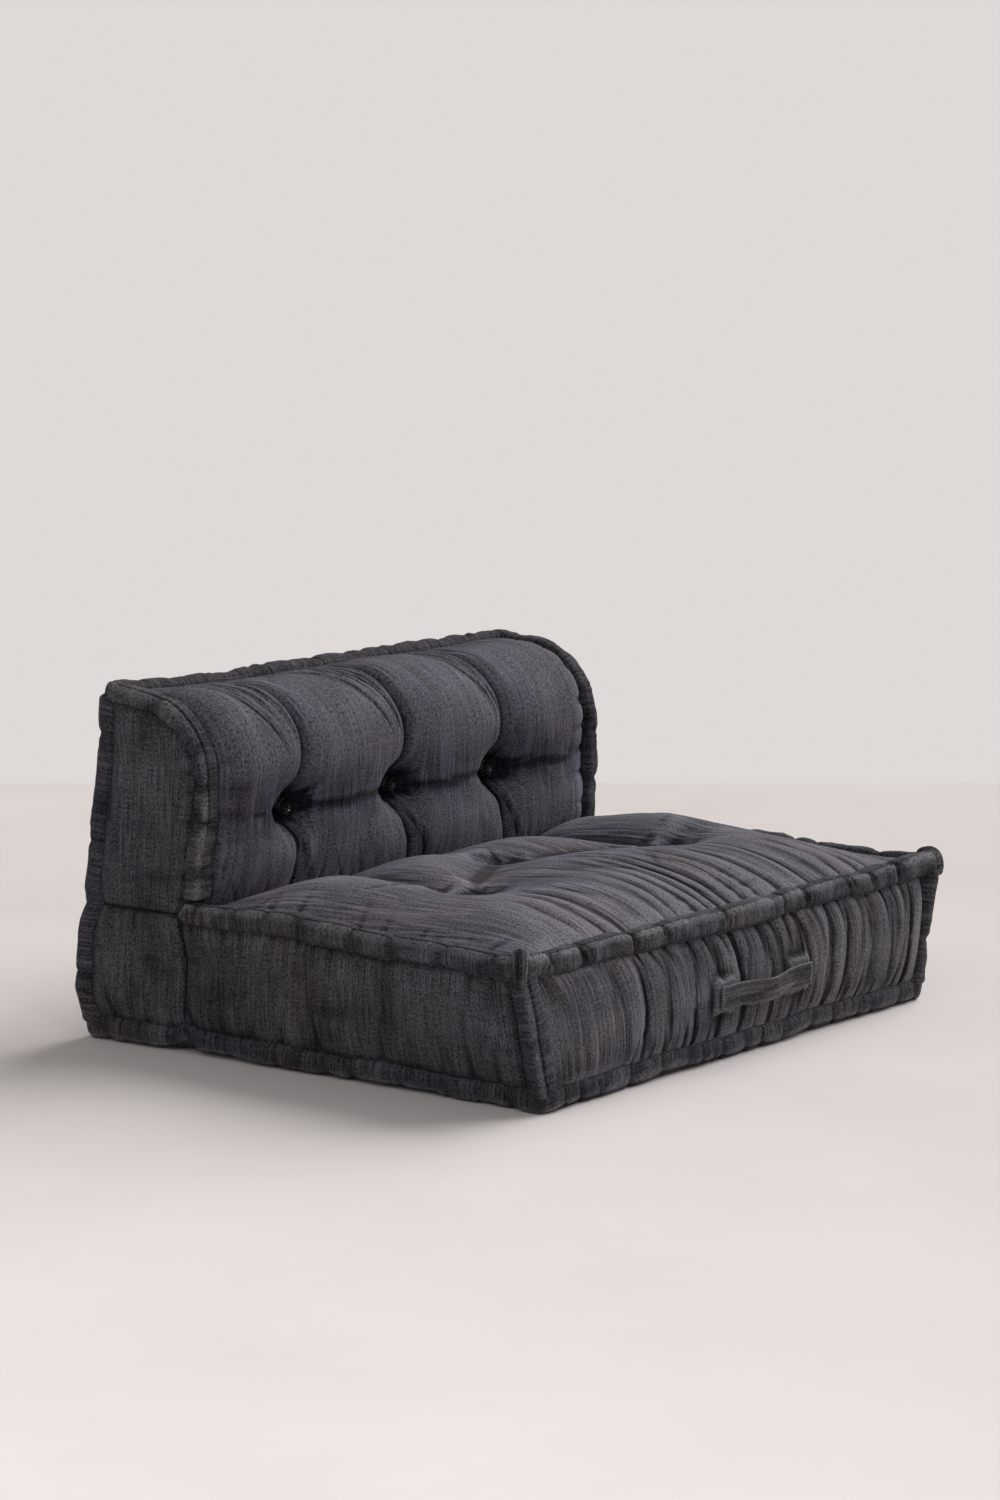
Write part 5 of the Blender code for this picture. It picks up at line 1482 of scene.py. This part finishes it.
def make_ear_tabs():
    """Folded tabs of cloth over the front corners, where three rolled edges are sewn together."""
    bend = [(-0.60, 0.55), (-0.10, 1.00), (0.55, 1.04), (1.02, 0.64)]
    bend += [(1.20, 0.05), (1.16, -0.50), (1.00, -1.00)]
    for side, tag in SIDES:
        corner = np.array([side * X_EAR, Y_FRONT_SEAT, Z_SEAT])
        line = [(R * out * 0.80, -R * out * 0.60, R * up) for out, up in bend]
        middle = smooth_line([corner + np.array([side * a, b, c]) for a, b, c in line], 46)
        ahead = np.gradient(middle, axis=0)
        ahead /= np.linalg.norm(ahead, axis=1, keepdims=True)
        across = np.cross(ahead, middle - corner)
        across /= np.linalg.norm(across, axis=1, keepdims=True)
        out = np.cross(across, ahead)
        out *= np.sign(np.sum(out * (middle - corner), axis=1, keepdims=True))
        t = np.linspace(0.0, 1.0, len(middle))
        angle = np.linspace(0.0, 2 * np.pi, 40, endpoint=False)
        taper = np.maximum(rounded(np.minimum(t, 1.0 - t), 0.10), 0.05)
        wide = 0.0115 * (1.0 - 0.35 * t) * taper
        thick = 0.0072 * taper
        c, s = np.cos(angle), np.sin(angle)
        flat = np.sign(c) * np.abs(c) ** 0.75
        crease = 0.0011 * uneven(t[:, None] * 9.0, angle[None] * 1.2, 701 + side)
        crease = crease - 0.0012 * bell(c[None] - 0.25, 0.16)
        form = (
            middle[:, None]
            + across[:, None] * (wide[:, None] * flat)[..., None]
            + out[:, None] * (thick[:, None] * s + crease * np.maximum(s, 0.0))[..., None]
        )
        # Lighter along the folded edges as rubbed wear and painted highlight, darker in the creases as painted
        # shade.
        wear_and_shading = np.clip(0.75 * bell(np.abs(c[None]) - 1.0, 0.22) + crease / 0.002, -1.0, 1.0)
        uv = np.stack(np.broadcast_arrays(0.012 * c[None], 0.055 * t[:, None]), axis=-1)
        piece = tube_piece("ear_tab_" + tag, form, uv, wear_and_shading, False, cotton("rolled_cotton"))


def make_edge_stitches():
    rng = np.random.default_rng(501)
    starts, ends, lifts = [], [], []
    for run in ROLL_RUNS.values():
        first, last, up = seam_stitches(run, (-1.75, 1.75), rng)
        starts += first
        ends += last
        lifts += up
    vertices, faces = stitch_mesh(starts, ends, lifts, sizes().thread)
    piece = new_piece("edge_stitches", vertices, faces, thread())


# ---------------------------------------------------------------- buttons and strap


def make_buttons():
    """Turned buttons with a raised rim, a dished face and four holes."""
    finish = shared_finish("polished_resin", button_finish)
    low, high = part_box("back_button_1")
    radius = (high.x - low.x) / 2
    thick = 0.007
    hole_out, hole_size = 0.26, 0.105
    ring = [0.0, 0.08, 0.16, 0.22, 0.28, 0.34, 0.40, 0.48, 0.58]
    ring += [0.68, 0.74, 0.80, 0.86, 0.92, 0.96, 0.99, 1.0]
    around = np.linspace(0.0, 2 * np.pi, 64, endpoint=False)
    share, angle = np.meshgrid(ring, around, indexing="ij")
    face = 0.55 + 0.45 * bell(share - 0.86, 0.13) - 0.25 * (share > 0.985) * (share - 0.985) / 0.015
    px = share * np.cos(angle)
    pz = share * np.sin(angle)
    for hole in range(4):
        bearing = math.pi / 4 + hole * math.pi / 2
        away = np.hypot(px - hole_out * math.cos(bearing), pz - hole_out * math.sin(bearing))
        face = face - 0.42 * np.exp(-((away / hole_size) ** 4))
    for index, spot in enumerate(BUTTONS, 1):
        depth = BUTTON_FACE + thick * (1.0 - face)
        front = np.stack([spot.x + radius * px, depth, spot.z + radius * pz], axis=-1)
        rims = []
        for back, reach in ((0.45, 1.01), (0.90, 0.98), (1.40, 0.84), (1.75, 0.40)):
            wall = front[-1:].copy()
            wall[..., 0] = spot.x + radius * reach * np.cos(around)
            wall[..., 1] = BUTTON_FACE + thick * back
            wall[..., 2] = spot.z + radius * reach * np.sin(around)
            rims.append(wall)
        form = np.concatenate([front[1:]] + rims)
        rings, count = form.shape[:2]
        at = np.arange(rings * count).reshape(rings, count)
        middle = rings * count
        faces = ring_quads(at)
        faces += [[there, here, middle] for here, there in zip(at[0].tolist(), np.roll(at[0], -1).tolist())]
        faces.append(at[-1].tolist())
        vertices = np.concatenate([form.reshape(-1, 3), front[0, :1]])
        piece = new_piece(f"button_{index}", vertices, faces, finish)
        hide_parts(f"back_button_{index}")
    starts, ends = [], []
    reach = hole_out * radius / math.sqrt(2)
    for spot in BUTTONS:
        for sign in (-1, 1):
            starts.append((spot.x - reach, BUTTON_FACE + thick * 0.5, spot.z - sign * reach))
            ends.append((spot.x + reach, BUTTON_FACE + thick * 0.5, spot.z + sign * reach))
    vertices, faces = stitch_mesh(starts, ends, [(0, -1, 0)] * len(starts), 0.0016, sides=8, rings=9)
    ties = new_piece("button_threads", vertices, faces, finish)


def strap_line(x):
    """Depth of the strap's back and its sag at a width."""
    middle = (STRAP_LOW.x + STRAP_HIGH.x) / 2
    free = (STRAP_HIGH.x - STRAP_LOW.x) - 2 * SEWN
    t = np.clip((x - middle) / free, -0.5, 0.5)
    bow = np.cos(np.pi * t) ** 2
    return STRAP_PLANE - 0.60 * (STRAP_HIGH.y - STRAP_LOW.y - STRAP_THICK) * bow, -0.002 * bow


def make_strap():
    """Pull strap of folded cloth, bowed between its sewn ends, with hems along both edges."""
    along = np.linspace(STRAP_LOW.x, STRAP_HIGH.x, 150)
    half = (STRAP_HIGH.z - STRAP_LOW.z) / 2
    middle = (STRAP_HIGH.z + STRAP_LOW.z) / 2
    across = np.concatenate([np.linspace(-1, 1, 26), np.linspace(1, -1, 26)])
    face = np.concatenate([np.ones(26), np.zeros(26)])
    run, place = np.meshgrid(along, across, indexing="ij")
    front = np.broadcast_to(face, run.shape)
    back_y, sag = strap_line(run)
    round_off = np.sqrt(np.maximum(1.0 - np.clip((np.abs(place) - 0.90) / 0.10, 0.0, 1.0) ** 2, 0.0))
    swell = STRAP_THICK * (0.5 + 0.5 * round_off)
    lift = np.where(front > 0.5, swell, STRAP_THICK - swell)
    hem = 0.0007 * bell(np.abs(place) - 0.78, 0.05)
    crumple = 0.0009 * uneven(run / 0.022, place * 1.4, 601) + 0.0004 * uneven(run / 0.008, place * 3.0, 602)
    lift = lift + np.where(front > 0.5, crumple - hem, crumple * 0.4)
    from_end = np.minimum(run - STRAP_LOW.x, STRAP_HIGH.x - run)
    end = ramp(from_end, 0.0, 0.003)
    width = half * (1.0 - 0.03 * uneven(run / 0.03, 0.0, 603)) * (0.985 + 0.015 * end)
    form = np.stack([run, back_y - lift, middle + sag + place * width], axis=-1)
    uv = np.stack([place * half, run], axis=-1)
    # Lighter along the edges and ends as frayed wear and painted highlight, darker along the hems as painted
    # shade.
    wear_and_shading = np.clip(0.9 * bell(1.0 - np.abs(place), 0.16) + 0.8 * bell(from_end, 0.003), 0, 1)
    wear_and_shading = wear_and_shading - 0.5 * bell(np.abs(place) - 0.78, 0.06)
    piece = tube_piece("pull_strap", form, uv, wear_and_shading, False, cotton("strap_cotton"))
    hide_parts("handle_strap")
    make_strap_stitches(middle, half)


def make_strap_stitches(middle, half):
    """Crossed boxes of stitches on the sewn ends, and a row along each hem between them."""
    starts, ends = [], []

    def on_strap(x, up):
        back_y, sag = strap_line(np.array(x))
        return x, float(back_y) - STRAP_THICK - 0.0003, middle + float(sag) + up

    def sew(a, b):
        across, rise = b[0] - a[0], b[1] - a[1]
        count = max(2, round(math.hypot(across, rise) / 0.0036))
        for k in range(count):
            for list_of, t in ((starts, (k + 0.12) / count), (ends, (k + 0.80) / count)):
                list_of.append(on_strap(a[0] + across * t, a[1] + rise * t))

    box_half = half - 0.0045
    for low, high in STRAP_ENDS:
        left, right = low + 0.004, high - 0.004
        box = [(left, -box_half), (right, -box_half), (right, box_half), (left, box_half)]
        for a, b in zip(box, box[1:] + box[:1]):
            sew(a, b)
        sew(box[0], box[2])
        sew(box[1], box[3])
    for hem in (0.0035 - half, half - 0.0035):
        sew((STRAP_ENDS[0][1], hem), (STRAP_ENDS[1][0], hem))
    vertices, faces = stitch_mesh(starts, ends, [(0, -1, 0)] * len(starts), 0.0009)
    piece = new_piece("strap_stitches", vertices, faces, thread())
    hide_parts("handle_stitch_left", "handle_stitch_right")


def finish_inner_parts():
    """Finishes of the foam, felt and twine inside, which keep the shape of their solids."""
    foam = shared_finish("cut_foam", foam_finish)
    felt = shared_finish("pressed_felt", felt_finish)
    twine = thread()
    made = {"seat_core": foam, "back_core": foam}
    for index in (1, 2, 3):
        made[f"back_anchor_{index}"] = felt
        made[f"seat_anchor_{index}"] = felt
        made[f"back_twine_{index}"] = twine
    for name, material in made.items():
        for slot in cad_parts[name].material_slots:
            slot.material = material


# ---------------------------------------------------------------- stage

CAMERA_PLACE = Vector((-4.449, -3.3175, 1.160))
CAMERA_AZIMUTH = math.radians(-53.09)
CAMERA_HEIGHT_ANGLE = math.radians(7.98)
LENS, SENSOR, SIGHT = 96.0, 36.0, 60.0
WALL_AWAY, WALL_HALF, WALL_HEIGHT = 7.8, 5.0, 4.5
FLOOR_HALF = 9.0
SKY_COLOUR, SKY_STRENGTH = (1.0, 0.99, 0.98, 1.0), 0.29
# Kind of each lamp, its power, its size (for the sun an angle) and its place.
LAMPS = {
    "key": ("SUN", 3.9, 1.0, (5.3, -1.2, 3.8)),
    "fill": ("AREA", 22.0, 2.4, (-3.4, -0.9, 1.7)),
    "catch": ("AREA", 9.0, 0.28, (-2.2, -3.0, 2.2)),
}
LAMP_AIM = Vector((0.0, 0.0, 0.2))


def stage_plane(name, corners, material):
    mesh = bpy.data.meshes.new(name)
    mesh.from_pydata(corners, [], [(0, 1, 2, 3)])
    mesh.materials.append(material)
    plane = bpy.data.objects.new(name, mesh)
    bpy.context.scene.collection.objects.link(plane)
    return plane


def make_wall(back, tint):
    """Plain wall behind the sofa, seen only from its front."""
    finish = floor_finish("pale_wall", tint)
    tree = finish.tree
    path = finish.add("ShaderNodeLightPath")
    side = finish.add("ShaderNodeNewGeometry").outputs["Backfacing"]
    glow = finish.add("ShaderNodeEmission", {"Color": (*tint, 1.0), "Strength": 1.0})
    clear = finish.add("ShaderNodeBsdfTransparent")
    plain = finish.add("ShaderNodeMixShader", {0: path.outputs["Is Camera Ray"]})
    tree.links.new(finish.shader.outputs[0], plain.inputs[1])
    tree.links.new(glow.outputs[0], plain.inputs[2])
    seen = finish.add("ShaderNodeMixShader", {0: side})
    tree.links.new(plain.outputs[0], seen.inputs[1])
    tree.links.new(clear.outputs[0], seen.inputs[2])
    tree.links.new(seen.outputs[0], tree.nodes["Material Output"].inputs["Surface"])
    away = Vector((-back.x, -back.y, 0.0)).normalized()
    along = Vector((-away.y, away.x, 0.0))
    foot = Vector((CAMERA_PLACE.x, CAMERA_PLACE.y, 0.0)) + away * WALL_AWAY
    low = [foot - along * WALL_HALF, foot + along * WALL_HALF]
    high = [place + Vector((0, 0, WALL_HEIGHT)) for place in low]
    wall = stage_plane("wall", [low[1], low[0], high[0], high[1]], finish.material)
    wall.visible_shadow = False


def make_stage():
    shades = colours()
    scene = bpy.context.scene
    scene.view_settings.view_transform = "Standard"
    level = math.cos(CAMERA_HEIGHT_ANGLE)
    back = Vector((
        math.sin(CAMERA_AZIMUTH) * level, -math.cos(CAMERA_AZIMUTH) * level, math.sin(CAMERA_HEIGHT_ANGLE),
    ))
    lens = bpy.data.cameras.new("camera")
    lens.lens = LENS
    lens.sensor_width = SENSOR
    lens.clip_end = SIGHT
    camera = bpy.data.objects.new("camera", lens)
    camera.location = CAMERA_PLACE
    camera.rotation_euler = (-back).to_track_quat("-Z", "Y").to_euler()
    scene.collection.objects.link(camera)
    scene.camera = camera

    corners = [(a * FLOOR_HALF, b * FLOOR_HALF, 0) for a, b in ((-1, -1), (1, -1), (1, 1), (-1, 1))]
    ground = stage_plane("floor", corners, floor_finish("pale_floor", shades.floor).material)
    make_wall(back, shades.wall)

    world = bpy.data.worlds.new("studio")
    world.use_nodes = True
    sky = world.node_tree.nodes["Background"]
    sky.inputs["Color"].default_value = SKY_COLOUR
    sky.inputs["Strength"].default_value = SKY_STRENGTH
    scene.world = world

    for name, (kind, power, size, place) in LAMPS.items():
        lamp = bpy.data.lights.new(name, kind)
        lamp.energy = power
        if kind == "SUN":
            lamp.angle = size
        else:
            lamp.shape = "DISK"
            lamp.size = size
        light = bpy.data.objects.new(name, lamp)
        light.location = place
        light.rotation_euler = (LAMP_AIM - Vector(place)).to_track_quat("-Z", "Y").to_euler()
        scene.collection.objects.link(light)


# ---------------------------------------------------------------- operators


class FLOORSOFA_OT_back(bpy.types.Operator):
    """Stuff the tufted back cushion"""

    bl_idname = "floor_sofa.back"
    bl_label = "Back Cushion"

    def execute(self, context):
        make_back_cushion()
        return {"FINISHED"}


class FLOORSOFA_OT_seat(bpy.types.Operator):
    """Stuff the tufted seat cushion"""

    bl_idname = "floor_sofa.seat"
    bl_label = "Seat Cushion"

    def execute(self, context):
        make_seat_cushion()
        return {"FINISHED"}


class FLOORSOFA_OT_front(bpy.types.Operator):
    """Gather the front cloth"""

    bl_idname = "floor_sofa.front"
    bl_label = "Front Cloth"

    def execute(self, context):
        make_front_cloth()
        return {"FINISHED"}


class FLOORSOFA_OT_ends(bpy.types.Operator):
    """Sew the three cloths of each end"""

    bl_idname = "floor_sofa.ends"
    bl_label = "End Cloths"

    def execute(self, context):
        make_end_cloths()
        return {"FINISHED"}


class FLOORSOFA_OT_rear(bpy.types.Operator):
    """Sew the rear cloths and the base cloth"""

    bl_idname = "floor_sofa.rear"
    bl_label = "Rear and Base Cloths"

    def execute(self, context):
        make_rear_cloths()
        return {"FINISHED"}


class FLOORSOFA_OT_rolls(bpy.types.Operator):
    """Roll the stuffed edges"""

    bl_idname = "floor_sofa.rolls"
    bl_label = "Rolled Edges"

    def execute(self, context):
        make_rolled_edges()
        make_ear_tabs()
        return {"FINISHED"}


class FLOORSOFA_OT_stitches(bpy.types.Operator):
    """Sew the hand stitches beside the rolled edges"""

    bl_idname = "floor_sofa.stitches"
    bl_label = "Edge Stitches"

    def execute(self, context):
        make_edge_stitches()
        return {"FINISHED"}


class FLOORSOFA_OT_buttons(bpy.types.Operator):
    """Turn the buttons and tie them on"""

    bl_idname = "floor_sofa.buttons"
    bl_label = "Buttons"

    def execute(self, context):
        make_buttons()
        return {"FINISHED"}


class FLOORSOFA_OT_strap(bpy.types.Operator):
    """Sew the pull strap on"""

    bl_idname = "floor_sofa.strap"
    bl_label = "Pull Strap"

    def execute(self, context):
        make_strap()
        return {"FINISHED"}


class FLOORSOFA_OT_inside(bpy.types.Operator):
    """Finish the foam, the felt and the twine inside"""

    bl_idname = "floor_sofa.inside"
    bl_label = "Inner Parts"

    def execute(self, context):
        finish_inner_parts()
        return {"FINISHED"}


class FLOORSOFA_OT_stage(bpy.types.Operator):
    """Set the floor, the light and the camera"""

    bl_idname = "floor_sofa.stage"
    bl_label = "Stage"

    def execute(self, context):
        make_stage()
        return {"FINISHED"}


OPERATORS = (
    FLOORSOFA_OT_stage,
    FLOORSOFA_OT_back,
    FLOORSOFA_OT_seat,
    FLOORSOFA_OT_front,
    FLOORSOFA_OT_ends,
    FLOORSOFA_OT_rear,
    FLOORSOFA_OT_rolls,
    FLOORSOFA_OT_stitches,
    FLOORSOFA_OT_buttons,
    FLOORSOFA_OT_strap,
    FLOORSOFA_OT_inside,
)


class FLOORSOFA_PT_tools(bpy.types.Panel):
    """Steps that dress the floor sofa"""

    bl_idname = "FLOORSOFA_PT_tools"
    bl_label = "Floor Sofa"
    bl_space_type = "VIEW_3D"
    bl_region_type = "UI"
    bl_category = "Floor Sofa"

    def draw(self, context):
        for operator in OPERATORS:
            self.layout.operator(operator.bl_idname)
        for group in (context.scene.floor_sofa_sizes, context.scene.floor_sofa_colours):
            box = self.layout.box()
            for key in group.__annotations__:
                box.prop(group, key)


CLASSES = (FloorSofaSizes, FloorSofaColours, *OPERATORS, FLOORSOFA_PT_tools)


def register():
    for item in CLASSES:
        bpy.utils.register_class(item)
    bpy.types.Scene.floor_sofa_sizes = bpy.props.PointerProperty(type=FloorSofaSizes)
    bpy.types.Scene.floor_sofa_colours = bpy.props.PointerProperty(type=FloorSofaColours)


def unregister():
    del bpy.types.Scene.floor_sofa_colours
    del bpy.types.Scene.floor_sofa_sizes
    for item in reversed(CLASSES):
        bpy.utils.unregister_class(item)


def main():
    register()
    for operator in OPERATORS:
        group, name = operator.bl_idname.split(".")
        getattr(getattr(bpy.ops, group), name)()


if __name__ == "__main__":
    main()
